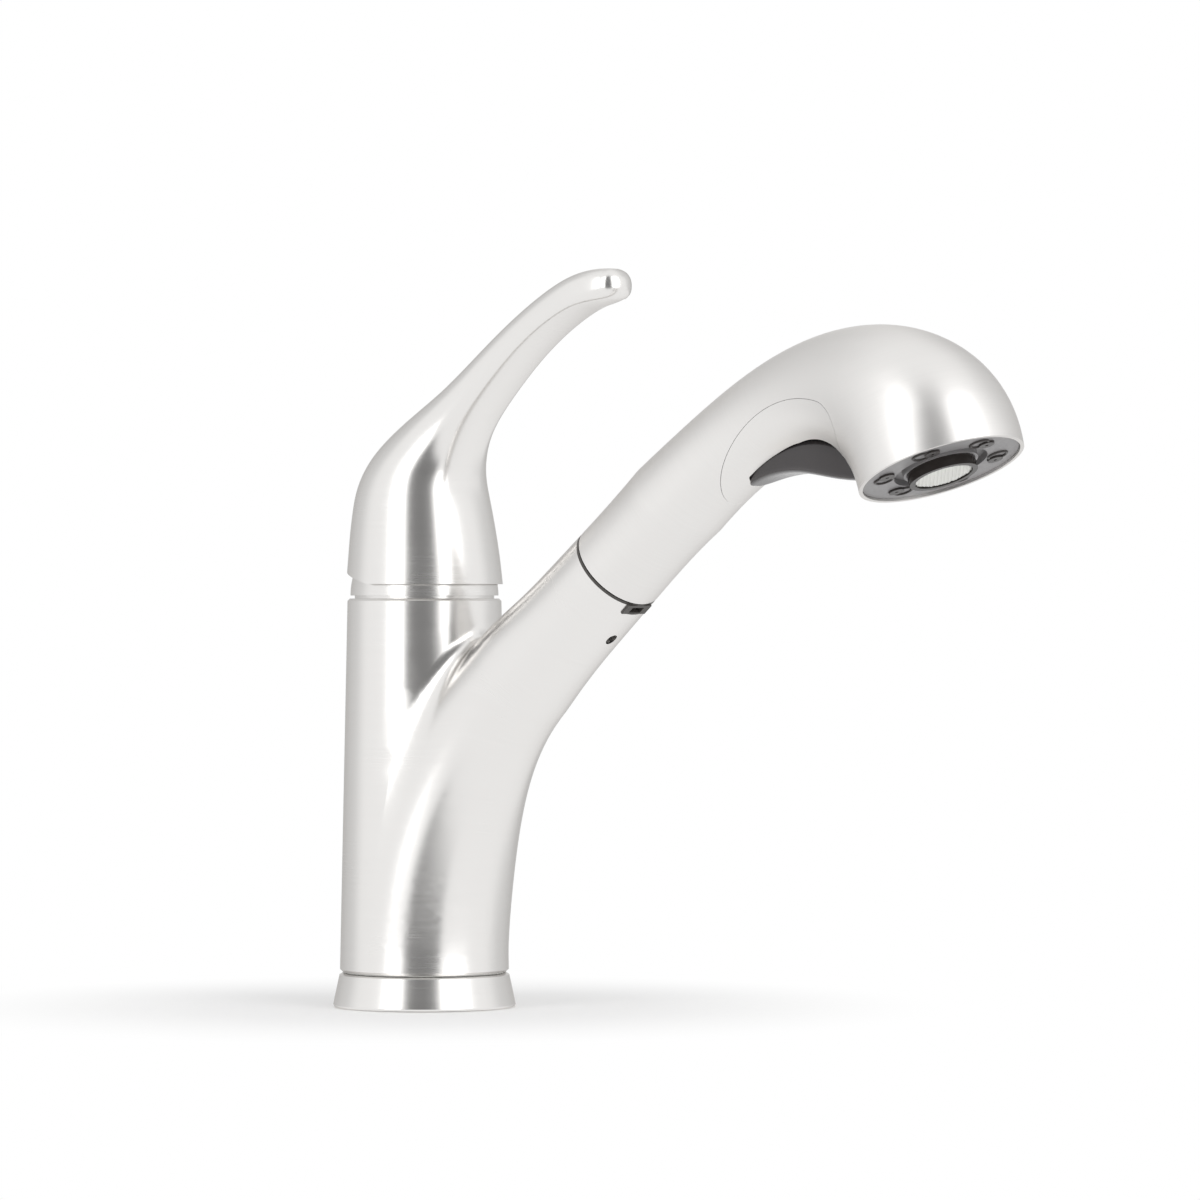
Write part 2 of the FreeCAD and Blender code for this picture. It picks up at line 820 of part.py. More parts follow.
rotor_blank = new_body("rotor_blank")
turned(rotor_blank, "rotor_turn", [
    (0, rotor_z),
    (d.rotor_flange_r, rotor_z),
    (d.rotor_flange_r, rotor_z + d.rotor_flange_thick),
    (d.rotor_neck_r, rotor_z + d.rotor_flange_thick),
    (d.rotor_neck_r, pivot_z + d.rotor_top),
    (0, pivot_z + d.rotor_top),
])
rotor_slot = block("rotor_slot", Frame(), -d.rotor_slot_length / 2, d.rotor_slot_length / 2,
                   (d.stem_r + d.free_gap) * 2, rotor_z - 1, pivot_z + d.rotor_top + 1)
rotor_pin_hole = cross_cylinder("rotor_pin_hole", d.stem_pin_r, pivot, d.rotor_neck_r + 1)
piece("cartridge_rotor", cut_by("cartridge_rotor", rotor_blank, [rotor_slot, rotor_pin_hole]))
piece("stem_pin", cross_cylinder("stem_pin", d.stem_pin_r, pivot, d.rotor_neck_r - d.fit_gap))


# Bonnet: a ball-shaped cover centred on the lever's pivot

bonnet_inner_r = d.bonnet_r - d.bonnet_wall
mouth_high = pivot_z + root(d.bonnet_r * d.bonnet_r - d.bonnet_mouth_r * d.bonnet_mouth_r)
mouth_low = pivot_z + root(bonnet_inner_r * bonnet_inner_r - d.bonnet_mouth_r * d.bonnet_mouth_r)
turned_piece("bonnet", [
    (d.bonnet_neck_r - d.bonnet_wall, bonnet_floor),
    (d.bonnet_neck_r, bonnet_floor),
    (d.bonnet_neck_r, pivot_z),
    (d.bonnet_r, pivot_z),
    (d.bonnet_mouth_r, mouth_high),
    (d.bonnet_mouth_r, mouth_low),
    (bonnet_inner_r, pivot_z),
    (d.bonnet_neck_r - d.bonnet_wall, pivot_z),
], arcs={3: d.bonnet_r, 5: -bonnet_inner_r})


# Lever stem: a ball below the pivot, a shouldered post above it

ball_z = pivot_z - d.ball_drop
ball_neck_z = ball_z + root(d.ball_r * d.ball_r - d.ball_neck_r * d.ball_neck_r)
stem_blank = new_body("stem_blank")
turned(stem_blank, "stem_turn", [
    (0, ball_z - d.ball_r),
    (d.ball_neck_r, ball_neck_z),
    (d.ball_neck_r, ball_z + d.ball_r * 1.6),
    (d.stem_r, ball_z + d.ball_r * 2),
    (d.stem_r, pivot_z + d.stem_shoulder),
    (d.stem_top_r, pivot_z + d.stem_shoulder),
    (d.stem_top_r, pivot_z + d.stem_height),
    (0, pivot_z + d.stem_height),
], arcs={0: d.ball_r})
stem_pin_hole = cross_cylinder("stem_pin_hole", d.stem_pin_r + d.run_gap, pivot, d.stem_r + 1)
piece("lever_stem", cut_by("lever_stem", stem_blank, [stem_pin_hole]))


# Handle: a round skirt that runs into a lever with a crease along each side of its underside

def hold_underside(sketch, arc, upper, half, radius):
    """Join the underside arc to the upper arc at both creases, half apart from the mid-plane."""
    sketch.addConstraint(Sketcher.Constraint("Coincident", upper, 2, arc, 1))
    sketch.addConstraint(Sketcher.Constraint("Coincident", upper, 1, arc, 2))
    hold(sketch, "DistanceY", -1, 1, upper, 1, half)
    hold(sketch, "DistanceY", upper, 2, -1, 1, half)
    hold(sketch, "Radius", arc, radius)


def round_ring(body, name, frame, radius, crease):
    """A round section in two arcs, split where the creases run out. +x is the front or the underside."""
    sketch = sketch_on(body, name, "XY_Plane", frame)
    split = math.asin(crease.value / radius.value)
    circle = Part.Circle(FreeCAD.Vector(), FreeCAD.Vector(0, 0, 1), radius.value)
    upper = sketch.addGeometry(Part.ArcOfCircle(circle, split, 2 * math.pi - split))
    front = sketch.addGeometry(Part.ArcOfCircle(circle, -split, split))
    hold_point(sketch, upper, 3, 0, 0)
    hold(sketch, "Radius", upper, radius)
    hold_underside(sketch, front, upper, crease, radius)
    return sketch


def lever_ring(body, name, frame, depth, width, under, crease):
    """An oval section with a flatter underside. +x is the underside and the creases are its corners."""
    sketch = sketch_on(body, name, "XY_Plane", frame)
    corner_x = depth * root(1 - crease * crease / (width * width))
    sag = under - corner_x
    radius = (crease * crease + sag * sag) / (2 * sag)
    long_end = FreeCAD.Vector(0, width.value, 0)
    short_end = FreeCAD.Vector(-depth.value, 0, 0)
    oval = Part.Ellipse(long_end, short_end, FreeCAD.Vector())
    corners = [FreeCAD.Vector(corner_x.value, side * crease.value, 0) for side in (-1, 1)]
    end, start = [oval.parameter(corner) for corner in corners]
    if end < start:
        end += 2 * math.pi
    upper = sketch.addGeometry(Part.ArcOfEllipse(oval, start, end))
    arc = sketch.addGeometry(arc_between(*corners, radius.value))
    sketch.exposeInternalGeometry(upper)
    long_axis, short_axis = arc + 1, arc + 2
    hold_point(sketch, upper, 3, 0, 0)
    sketch.addConstraint(Sketcher.Constraint("Vertical", long_axis))
    hold(sketch, "Distance", long_axis, width * 2)
    hold(sketch, "Distance", short_axis, depth * 2)
    hold_underside(sketch, arc, upper, crease, radius)
    return sketch


handle_root = Frame(0, rim_z)
handle_blank = new_body("handle_blank")
handle_rings = [round_ring(handle_blank, "handle_rim", handle_root, d.rim_r, d.crease_half)]
for index, (x, rise, angle, radius) in enumerate(rows_of("skirt")):
    frame = handle_root.at(x, rise, angle)
    handle_rings.append(round_ring(handle_blank, f"skirt_ring{index}", frame, radius, d.crease_half))
for index, (x, rise, angle, *section) in enumerate(rows_of("lever")):
    frame = handle_root.at(x, rise, angle)
    handle_rings.append(lever_ring(handle_blank, f"lever_ring{index}", frame, *section))
tip_frame = handle_root.at(d.lever_reach, d.lever_rise, d.tip_angle)
handle_rings.append(round_ring(handle_blank, "lever_tip", tip_frame, d.tip_r, d.tip_r * 0.85))
handle_loft = handle_blank.newObject("PartDesign::AdditiveLoft", "handle_loft")
handle_loft.Profile = handle_rings[0]
handle_loft.Sections = handle_rings[1:]
tip_cap = new_body("tip_cap", tip_frame)
cap_rise = d.tip_cap_r - root(d.tip_cap_r * d.tip_cap_r - d.tip_r * d.tip_r)
turned(tip_cap, "tip_cap_turn", [(0, 0), (d.tip_r, 0), (0, cap_rise)], arcs={1: d.tip_cap_r})
slab(handle_blank, "rim_relief", "XZ_Plane", [
    (0, rim_z),
    (-d.rim_r * 1.5, rim_z + d.rim_r * 1.5 * tan(d.rim_relief_angle)),
    (-d.rim_r * 1.5, rim_z - 1),
    (0, rim_z - 1),
], d.rim_r * 3, cut=True)
ball_space_r = d.bonnet_r + d.free_gap
turned(handle_blank, "bonnet_space", [
    (0, pivot_z),
    (ball_space_r, pivot_z),
    (0, pivot_z + ball_space_r),
], arcs={1: ball_space_r}, cut=True)
turned(handle_blank, "stem_socket", [
    (0, pivot_z),
    (d.stem_top_r + d.fit_gap, pivot_z),
    (d.stem_top_r + d.fit_gap, pivot_z + d.stem_height + d.free_gap),
    (0, pivot_z + d.stem_height + d.free_gap),
], cut=True)
screw_line = pivot.at(0, d.handle_screw_rise, -90)
set_screw_hole = cylinder("set_screw_hole", d.handle_screw_r + d.fit_gap, screw_line, as_size(0), d.rim_r + 2)
plug_seat = d.handle_plug_reach - d.handle_plug_thick
plug_hole = cylinder("plug_hole", d.handle_plug_r + d.fit_gap, screw_line, plug_seat, d.rim_r + 2)
capped_handle = combined("Part::Fuse", "capped_handle", handle_blank, tip_cap)
piece("handle_shell", cut_by("handle_shell", capped_handle, [set_screw_hole, plug_hole]))

screw_start = d.stem_top_r + d.run_gap
screw_blank = cylinder("handle_screw_blank", d.handle_screw_r, screw_line,
                       screw_start, screw_start + d.handle_screw_length)
screw_socket = cylinder("handle_screw_socket", d.handle_screw_r / 2, screw_line,
                        screw_start + d.handle_screw_length / 2, screw_start + d.handle_screw_length + 1)
piece("handle_screw", cut_by("handle_screw", screw_blank, [screw_socket]))
piece("handle_plug", cylinder("handle_plug", d.handle_plug_r, screw_line, plug_seat, d.handle_plug_reach))


# Dock sleeve and its screw at the spout's mouth

sleeve_r = d.spout_bore_r - d.fit_gap
sleeve = new_body("sleeve_blank", joint)
turned(sleeve, "sleeve_turn", [
    (d.dock_bore_r, -d.dock_depth),
    (sleeve_r, -d.dock_depth),
    (sleeve_r, 0),
    (d.dock_flange_r, 0),
    (d.dock_flange_r, d.dock_flange_thick),
    (d.dock_bore_r, d.dock_flange_thick),
])
key = block("dock_key", joint, sleeve_r - 0.5, d.dock_flange_r, d.key_width,
            -d.key_length, d.dock_flange_thick / 2)
keyed_sleeve = combined("Part::Fuse", "keyed_sleeve", sleeve, key)
key_slot = block("key_slot", joint, sleeve_r + 0.5, d.dock_flange_r + 1, d.key_slot_width,
                 -d.key_slot_length - 0.6, -0.6)
piece("dock_sleeve", cut_by("dock_sleeve", keyed_sleeve, [key_slot]))
dock_screw_blank = cylinder("dock_screw_blank", d.dock_screw_r, screw_frame,
                            sleeve_r, sleeve_r + d.dock_screw_length)
dock_screw_socket = cylinder("dock_screw_socket", d.dock_screw_r / 2, screw_frame,
                             sleeve_r + d.dock_screw_length / 2, sleeve_r + d.dock_screw_length + 1)
piece("dock_screw", cut_by("dock_screw", dock_screw_blank, [dock_screw_socket]))


# Wand: a curved shell that flares into the spray head

wand_start = d.dock_flange_thick + d.wand_gap
wand_rings = [(Frame(0, wand_start), d.wand_start_r)]
wand_rings += [(Frame(x, z, angle), radius) for x, z, angle, radius in rows_of("wand")]
lip_x, lip_z, lip_angle, lip_r = rows_of("wand")[-1]
lip = joint.at(lip_x, lip_z, lip_angle)

wand_blank = new_body("wand_blank", joint)
lofted(wand_blank, "wand_outside", wand_rings)
lofted(wand_blank, "wand_inside", [(frame, radius - d.wand_wall) for frame, radius in wand_rings], cut=True)
face_seat_r = lip_r - d.lip_wall
face_back = -d.face_inset - d.face_thick
face_seat = cylinder("face_seat", face_seat_r, lip, face_back - d.mat_thick, as_size(2))


def saddle_outline(body, name, grow):
    """The bezel's outline seen from the side, grown by a gap, as a slab right through the wand."""
    points = [(x + grow * cos(angle), z + grow * sin(angle)) for x, z, angle in rows_of("saddle")]
    arcs = {0: -(d.saddle_front_r + grow), 1: -(d.saddle_crown_r + grow), 2: -(d.saddle_rear_r + grow)}
    slab(body, name, "XZ_Plane", points, as_size(80), arcs)


saddle = new_body("saddle", joint)
saddle_outline(saddle, "saddle_slab", as_size(0))
saddle_opening = new_body("saddle_opening", joint)
saddle_outline(saddle_opening, "saddle_opening_slab", d.bezel_gap)
piece("wand_shell", cut_by("wand_shell", wand_blank, [saddle_opening, face_seat]))


# Saddle bezel on the wand's underside and the toggle that rocks in it

def toggle_plan(name, margin):
    """A block right through the wand's underside with the toggle's plan, grown by a margin."""
    points = [(y + margin, z) for y, z in rows_of("toggle_plan")]
    points += [(-y, z) for y, z in reversed(points)]
    body = new_body(name, joint)
    sketch = sketch_on(body, name + "_outline", "YZ_Plane")
    outline(sketch, points, arcs={len(points) - 1: d.toggle_nose_r + margin})
    pad = body.newObject("PartDesign::Pad", name + "_pad")
    pad.Profile = sketch
    pad.Length = 60
    return body


toggle_window = toggle_plan("toggle_window", d.toggle_margin)
pin_frame = joint.at(d.toggle_pin_x, d.toggle_pin_z)
bezel_pin_hole = cross_cylinder("bezel_pin_hole", d.toggle_pin_r + d.run_gap, pin_frame,
                                d.toggle_pin_half + d.run_gap)
framed_saddle = cut_by("framed_saddle", saddle, [toggle_window, bezel_pin_hole])
piece("button_bezel", combined("Part::Common", "button_bezel", wand_blank, framed_saddle))
piece("toggle_pin", cross_cylinder("toggle_pin", d.toggle_pin_r, pin_frame, d.toggle_pin_half))

toggle_side = new_body("toggle_side", joint)
slab(toggle_side, "toggle_side_slab", "XZ_Plane", rows_of("toggle_side"), as_size(40),
     arcs={1: -d.toggle_scoop_r, 5: d.toggle_crown_r})
toggle_block = toggle_plan("toggle_block", as_size(0))
toggle_rocker = combined("Part::Common", "toggle_rocker", toggle_side, toggle_block)
toggle_lug = new_body("toggle_lug", joint)
slab(toggle_lug, "toggle_lug_slab", "XZ_Plane", [
    (d.toggle_pin_x, d.toggle_pin_z + d.toggle_lug_r),
    (d.toggle_pin_x, d.toggle_pin_z - d.toggle_lug_r),
    (d.toggle_pin_x + 7, d.toggle_pin_z - d.toggle_lug_r),
    (d.toggle_pin_x + 7, d.toggle_pin_z + d.toggle_lug_r),
], d.toggle_lug_width, arcs={0: d.toggle_lug_r})
lugged_toggle = combined("Part::Fuse", "lugged_toggle", toggle_rocker, toggle_lug)
toggle_pin_hole = cross_cylinder("toggle_pin_hole", d.toggle_pin_r + d.run_gap, pin_frame, as_size(20))
piece("spray_toggle", cut_by("spray_toggle", lugged_toggle, [toggle_pin_hole]))


# Inside the wand: inlet nose, check valve, hose nut and the tube to the head

nose_r = d.dock_bore_r - d.free_gap
collar_r = d.wand_start_r - d.wand_wall - d.fit_gap
turned_piece("wand_inlet", [
    (d.inlet_bore_r, -d.nose_length),
    (nose_r, -d.nose_length),
    (nose_r, wand_start),
    (collar_r, wand_start),
    (collar_r - 0.6, wand_start + d.inlet_collar_length),
    (d.inlet_bore_r, wand_start + d.inlet_collar_length),
], joint)
turned_piece("check_valve", washer(
    d.inlet_bore_r / 2,
    d.inlet_bore_r - d.fit_gap,
    -d.nose_length,
    d.check_valve_length - d.nose_length,
), joint)
nut_back = -d.nose_length - d.hose_nut_length
turned_piece("hose_nut", [
    (d.hose_r + d.fit_gap, nut_back),
    (d.hose_nut_r - 1, nut_back),
    (d.hose_nut_r, nut_back + 1),
    (d.hose_nut_r, -d.nose_length),
    (d.hose_bore_r, -d.nose_length),
    (d.hose_bore_r, nut_back + d.hose_grip),
    (d.hose_r + d.fit_gap, nut_back + d.hose_grip),
], joint)

hose_end = joint.at(0, nut_back + d.hose_grip)
bend_top_x = d.hose_x + d.hose_bend_r * (1 - sin(d.spout_angle))
bend_top_z = joint.z - (joint.x - bend_top_x) * tan(d.spout_angle)
bend_low_z = bend_top_z - d.hose_bend_r * cos(d.spout_angle)
hose_low = -d.shank_length - d.hose_drop
hose = new_body("spray_hose")
hose_line = sketch_on(hose, "hose_line", "XZ_Plane")
outline(hose_line, [
    (d.hose_x, hose_low),
    (d.hose_x, bend_low_z),
    (bend_top_x, bend_top_z),
    (hose_end.x, hose_end.z),
], arcs={1: -d.hose_bend_r}, closed=False)
hose_ring = sketch_on(hose, "hose_ring", "XY_Plane", Frame(d.hose_x, hose_low))
add_circle(hose_ring, 0, 0, d.hose_r)
add_circle(hose_ring, 0, 0, d.hose_bore_r)
hose_pipe = hose.newObject("PartDesign::AdditivePipe", "hose_pipe")
hose_pipe.Profile = hose_ring
hose_pipe.Spine = hose_line
piece("spray_hose", hose)

waterway_line = [Frame(0, wand_start + d.inlet_collar_length)]
waterway_line += [Frame(x, z, angle) for x, z, angle, _ in rows_of("wand")[:3]]
waterway_line += [Frame(x, z, angle) for x, z, angle in rows_of("waterway")]
waterway = new_body("waterway_tube", joint)
lofted(waterway, "waterway_outside", [(frame, d.waterway_r) for frame in waterway_line])
lofted(waterway, "waterway_inside", [(frame, d.waterway_bore_r) for frame in waterway_line], cut=True)
piece("waterway_tube", waterway)
waterway_space = new_body("waterway_space", joint)
lofted(waterway_space, "waterway_room", [(frame, d.waterway_r + d.fit_gap) for frame in waterway_line])


# Spray head: diverter, nozzle mat, face plate and aerator, in the lip's own frame

def around(count, radius, hole, start=0):
    """Circles spaced evenly round the axis, as (x, y, radius)."""
    steps = [start + 360.0 * k / count for k in range(count)]
    return [(radius * cos(step), radius * sin(step), hole) for step in steps]


def nozzle_circles(radius):
    return around(SIZES["nozzle_count"], d.nozzle_circle_r, radius, d.nozzle_start_angle)


mat_back = face_back - d.mat_thick
diverter_back = mat_back - d.diverter_length
diverter_blank = new_body("diverter_blank", lip)
turned(diverter_blank, "diverter_turn", [
    (0, diverter_back),
    (d.diverter_r, diverter_back),
    (d.diverter_r, mat_back),
    (d.diverter_chamber_r, mat_back),
    (d.diverter_chamber_r, diverter_back + 2),
    (0, diverter_back + 2),
])
spool_line = lip.at(0, -d.spool_depth, 90)
spool_bore = cylinder("spool_bore", d.spool_r + d.free_gap, spool_line,
                      d.spool_inner - 3, d.diverter_r + 1)
piece("diverter_housing", cut_by("diverter_housing", diverter_blank, [spool_bore, waterway_space]))
piece("diverter_spool", cylinder("diverter_spool", d.spool_r, spool_line, d.spool_inner, d.spool_outer))

face_r = face_seat_r - d.fit_gap
face_front = as_size(0) - d.face_inset
face = new_body("spray_face", lip)
turned(face, "face_turn", [
    (d.aerator_r + d.fit_gap, face_back),
    (face_r, face_back),
    (face_r, face_front),
    (d.moat_outer_r, face_front),
    (d.moat_outer_r, face_front - d.moat_depth),
    (d.moat_inner_r, face_front - d.moat_depth),
    (d.moat_inner_r, face_front),
    (d.aerator_r + d.fit_gap, face_front),
])
posts(face, "nozzle_holes", nozzle_circles(d.nozzle_r + d.fit_gap), face_back - 1, face_front + 1, cut=True)
piece("spray_face", face)

mat = new_body("nozzle_mat", lip)
turned(mat, "mat_turn", washer(d.mat_inner_r, d.mat_outer_r, mat_back, face_back))
posts(mat, "nozzle_studs", nozzle_circles(d.nozzle_r),
      face_back - d.mat_thick / 2, face_front + d.nozzle_stand)
posts(mat, "nozzle_jets", nozzle_circles(d.nozzle_hole_r),
      mat_back - 1, face_front + d.nozzle_stand + 1, cut=True)
piece("nozzle_mat", mat)

turned_piece("aerator_housing", washer(d.aerator_bore_r, d.aerator_r, mat_back, d.aerator_stand), lip)
screen_top = d.aerator_stand - d.screen_inset
screen = new_body("aerator_screen", lip)
posts(screen, "screen_disc", [(0, 0, d.aerator_bore_r - d.fit_gap)], screen_top - d.screen_thick, screen_top)
screen_holes = [(0, 0, d.screen_hole_r)]
for ring in (1, 2, 3):
    screen_holes += around(6 * ring, d.screen_pitch * ring, d.screen_hole_r)
posts(screen, "screen_holes", screen_holes, screen_top - d.screen_thick - 1, screen_top + 1, cut=True)
piece("aerator_screen", screen)


# Recompute, test every object and write one file per piece

doc.recompute()
for thing in doc.Objects:
    if "Invalid" in thing.State or "Error" in thing.State:
        raise RuntimeError(f"{thing.Name} did not build: {thing.getStatusString()}")
os.makedirs("parts", exist_ok=True)
for name, thing in pieces.items():
    shape = thing.Shape
    if shape.isNull() or not shape.isValid() or len(shape.Solids) != 1:
        raise RuntimeError(f"{name} is not one sound solid")
    shape.exportStep(f"parts/{name}.step")
    print(f"{name}: {shape.Volume:.1f} mm3")
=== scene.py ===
"""Pull-out kitchen faucet in brushed nickel: looks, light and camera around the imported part."""

import json
import math

import bmesh
import bpy
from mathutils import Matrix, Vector


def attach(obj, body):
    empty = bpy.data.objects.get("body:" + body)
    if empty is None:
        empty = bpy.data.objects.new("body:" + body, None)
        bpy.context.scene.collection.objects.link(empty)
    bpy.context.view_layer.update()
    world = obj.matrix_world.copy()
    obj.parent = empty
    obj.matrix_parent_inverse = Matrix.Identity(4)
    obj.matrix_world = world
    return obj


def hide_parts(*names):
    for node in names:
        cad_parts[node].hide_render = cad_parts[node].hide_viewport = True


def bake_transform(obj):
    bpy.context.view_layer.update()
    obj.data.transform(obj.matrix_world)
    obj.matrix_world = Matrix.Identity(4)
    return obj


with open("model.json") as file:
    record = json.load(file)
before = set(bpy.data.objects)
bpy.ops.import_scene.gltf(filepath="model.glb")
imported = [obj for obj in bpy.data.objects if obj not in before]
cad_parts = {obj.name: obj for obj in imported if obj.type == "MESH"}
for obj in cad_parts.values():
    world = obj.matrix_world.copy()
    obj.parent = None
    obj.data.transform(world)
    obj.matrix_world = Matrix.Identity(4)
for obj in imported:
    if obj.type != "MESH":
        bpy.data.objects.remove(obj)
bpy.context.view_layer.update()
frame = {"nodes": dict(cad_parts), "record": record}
nodes = frame["nodes"]
scene = bpy.context.scene
scene.view_settings.view_transform = "Standard"


# Camera: level, 45 degrees off the spout, as in the photograph

CAMERA_DISTANCE = 1.8
CAMERA_HEIGHT = 0.12165
FRAME_WIDTH = 0.36
AXIS_LEFT_OF_CENTRE = 0.05265
SENSOR = 36.0
VIEW_TURN = math.radians(45)

to_camera = Vector((math.sin(VIEW_TURN), -math.cos(VIEW_TURN), 0))
to_right = Vector((math.cos(VIEW_TURN), math.sin(VIEW_TURN), 0))
up = Vector((0, 0, 1))

camera_data = bpy.data.cameras.new("camera")
camera_data.sensor_width = SENSOR
camera_data.lens = SENSOR * CAMERA_DISTANCE / FRAME_WIDTH
camera = bpy.data.objects.new("camera", camera_data)
camera.location = to_camera * CAMERA_DISTANCE + to_right * AXIS_LEFT_OF_CENTRE + up * CAMERA_HEIGHT
camera.rotation_euler = (math.radians(90), 0, VIEW_TURN)
scene.collection.objects.link(camera)
scene.camera = camera


# Node helpers

class Nodes:
    """A small wrapper that adds shader nodes to a tree and links them by socket name."""

    def __init__(self, tree):
        self.tree = tree

    def add(self, kind, settings=None, **inputs):
        node = self.tree.nodes.new(kind)
        for name, value in (settings or {}).items():
            setattr(node, name, value)
        for name, value in inputs.items():
            self.put(node, name, value)
        return node

    def put(self, node, name, value):
        socket = node.inputs[int(name[1:])] if name[0] == "_" else node.inputs[name.replace("_", " ")]
        if isinstance(value, bpy.types.NodeSocket):
            self.tree.links.new(value, socket)
        else:
            socket.default_value = value

    def maths(self, operation, a, b=0.0):
        return self.add("ShaderNodeMath", {"operation": operation}, _0=a, _1=b).outputs[0]

    def vector(self, operation, a, b):
        node = self.add("ShaderNodeVectorMath", {"operation": operation}, _0=a, _1=b)
        return node.outputs["Value" if operation == "DOT_PRODUCT" else "Vector"]

    def scaled(self, a, factor):
        node = self.add("ShaderNodeVectorMath", {"operation": "SCALE"}, _0=a)
        self.put(node, "Scale", factor)
        return node.outputs["Vector"]

    def spread(self, value, low, high, new_low, new_high, smooth=False):
        """Maps value from low..high to new_low..new_high, held at the ends."""
        settings = {"interpolation_type": "SMOOTHSTEP" if smooth else "LINEAR"}
        node = self.add("ShaderNodeMapRange", settings, Value=value)
        ends = {"From Min": low, "From Max": high, "To Min": new_low, "To Max": new_high}
        for name, number in ends.items():
            node.inputs[name].default_value = number
        return node.outputs["Result"]

    def blend(self, factor, a, b):
        """A colour between a and b."""
        node = self.add("ShaderNodeMix", {"data_type": "RGBA"}, Factor=factor)
        self.put(node, "_6", a)
        self.put(node, "_7", b)
        return node.outputs[2]

    def between(self, factor, a, b):
        """A number between a and b."""
        node = self.add("ShaderNodeMix", {"data_type": "FLOAT"}, Factor=factor)
        self.put(node, "_2", a)
        self.put(node, "_3", b)
        return node.outputs[0]

    def band(self, value, rise, fall):
        """1 between the two stretches over which the band rises and falls, and 0 outside them."""
        rising = self.spread(value, *rise, 0, 1, smooth=True)
        falling = self.spread(value, *fall, 1, 0, smooth=True)
        return self.maths("MULTIPLY", rising, falling)

    def noise(self, vector, scale, detail=2.0):
        return self.add("ShaderNodeTexNoise", Vector=vector, Scale=scale, Detail=detail).outputs["Fac"]

    def tinted(self, factor, colour, low, high):
        """A colour between two shades of one colour."""
        return self.blend(factor, rgba(colour, low), rgba(colour, high))

    def bumped(self, shader, height, strength, depth):
        """Gives a shader fine relief from a height."""
        bump = self.add("ShaderNodeBump", Strength=strength, Distance=depth, Height=height)
        self.put(shader, "Normal", bump.outputs["Normal"])


def rgba(colour, factor=1.0):
    return (*(channel * factor for channel in colour), 1.0)


def new_material(name):
    """An empty material with its surface shader: (material, node wrapper, shader, object coordinates)."""
    material = bpy.data.materials.new(name)
    material.use_nodes = True
    made = Nodes(material.node_tree)
    shader = material.node_tree.nodes["Principled BSDF"]
    place = made.add("ShaderNodeTexCoord").outputs["Object"]
    return material, made, shader, place


# Materials: satin nickel, moulded pieces and plain metals, and the hose's braid

NOISE_RANGE = (0.3, 0.7)
SPOUT_AXIS = Vector((0.78261, 0, 0.62251))
FACE_AXIS = Vector((0.37622, 0, -0.92653))
LEVER_AXIS = Vector((0.7, 0, 0.7))

NICKEL = (0.82, 0.807, 0.792)
NICKEL_EDGE = (0.72, 0.71, 0.70)
NICKEL_CLOUDS = 45.0
CLOUD_ROUGHNESS = (-0.015, 0.02)
LINES_PER_METRE = 2600.0
LINE_STRETCH = 60.0
LINE_TONES = (0.985, 1.012)
LINE_ROUGHNESS = (-0.02, 0.025)
LINE_BUMP = 0.012
LINE_DEPTH = 0.00004

GRAIN_CLOUDS = 60.0
GRAIN_TONES = (0.9, 1.08)
GRAIN_ROUGHNESS = (-0.05, 0.06)
GRAIN_BUMP = 0.25
POLISHED = {"grain": 1400.0, "depth": 0.000004}

BRAID_PITCH = 0.0024
BRAID_RUN = (0.62, 0, 0.78)
# painted shade on the braid: shares of its colour in the grooves between strands and on their crowns
BRAID_SHADE_TONES = (0.45, 1.15)
BRAID_ROUGHNESS = (0.6, 0.4)
BRAID_BUMP = 0.6
BRAID_DEPTH = 0.0003


def brushed(name, axis, far_axis=None, reach=None, roughness=0.24):
    """Plated metal with fine brush lines that run round an axis.

    Where far_axis is given, the lines turn to it over the stretch of X that reach names.
    """
    material, made, shader, place = new_material(name)
    along = made.vector("DOT_PRODUCT", place, tuple(axis))
    if far_axis is not None:
        far = made.vector("DOT_PRODUCT", place, tuple(far_axis))
        split = made.add("ShaderNodeSeparateXYZ", Vector=place)
        share = made.spread(split.outputs["X"], *reach, 0, 1, smooth=True)
        along = made.between(share, along, far)
    step = made.maths("MULTIPLY", along, LINES_PER_METRE)
    comb = made.add("ShaderNodeCombineXYZ", X=step, Y=step, Z=step).outputs["Vector"]
    drawn_out = made.vector("ADD", made.scaled(place, LINE_STRETCH), comb)
    lines = made.noise(drawn_out, 1.0, detail=3.0)
    clouds = made.noise(place, NICKEL_CLOUDS)
    tone = made.spread(lines, *NOISE_RANGE, 0, 1)
    made.put(shader, "Base Color", made.tinted(tone, NICKEL, *LINE_TONES))
    rough_lines = made.spread(lines, *NOISE_RANGE, *(roughness + change for change in LINE_ROUGHNESS))
    rough_clouds = made.spread(clouds, *NOISE_RANGE, *CLOUD_ROUGHNESS)
    made.put(shader, "Roughness", made.maths("ADD", rough_lines, rough_clouds))
    made.bumped(shader, lines, LINE_BUMP, LINE_DEPTH)
    shader.inputs["Metallic"].default_value = 1.0
    shader.inputs["Specular Tint"].default_value = rgba(NICKEL_EDGE)
    return material


def moulded(name, colour, roughness, grain=900.0, depth=0.00002, metallic=0.0, specular=0.5):
    """Plastic, rubber or plain metal with a fine grain and slight unevenness of tone."""
    material, made, shader, place = new_material(name)
    fine = made.noise(place, grain, detail=3.0)
    clouds = made.noise(place, GRAIN_CLOUDS)
    made.put(shader, "Base Color", made.tinted(clouds, colour, *GRAIN_TONES))
    rough = made.spread(fine, *NOISE_RANGE, *(roughness + change for change in GRAIN_ROUGHNESS))
    made.put(shader, "Roughness", rough)
    made.bumped(shader, fine, GRAIN_BUMP, depth)
    shader.inputs["Metallic"].default_value = metallic
    shader.inputs["Specular IOR Level"].default_value = specular
    return material


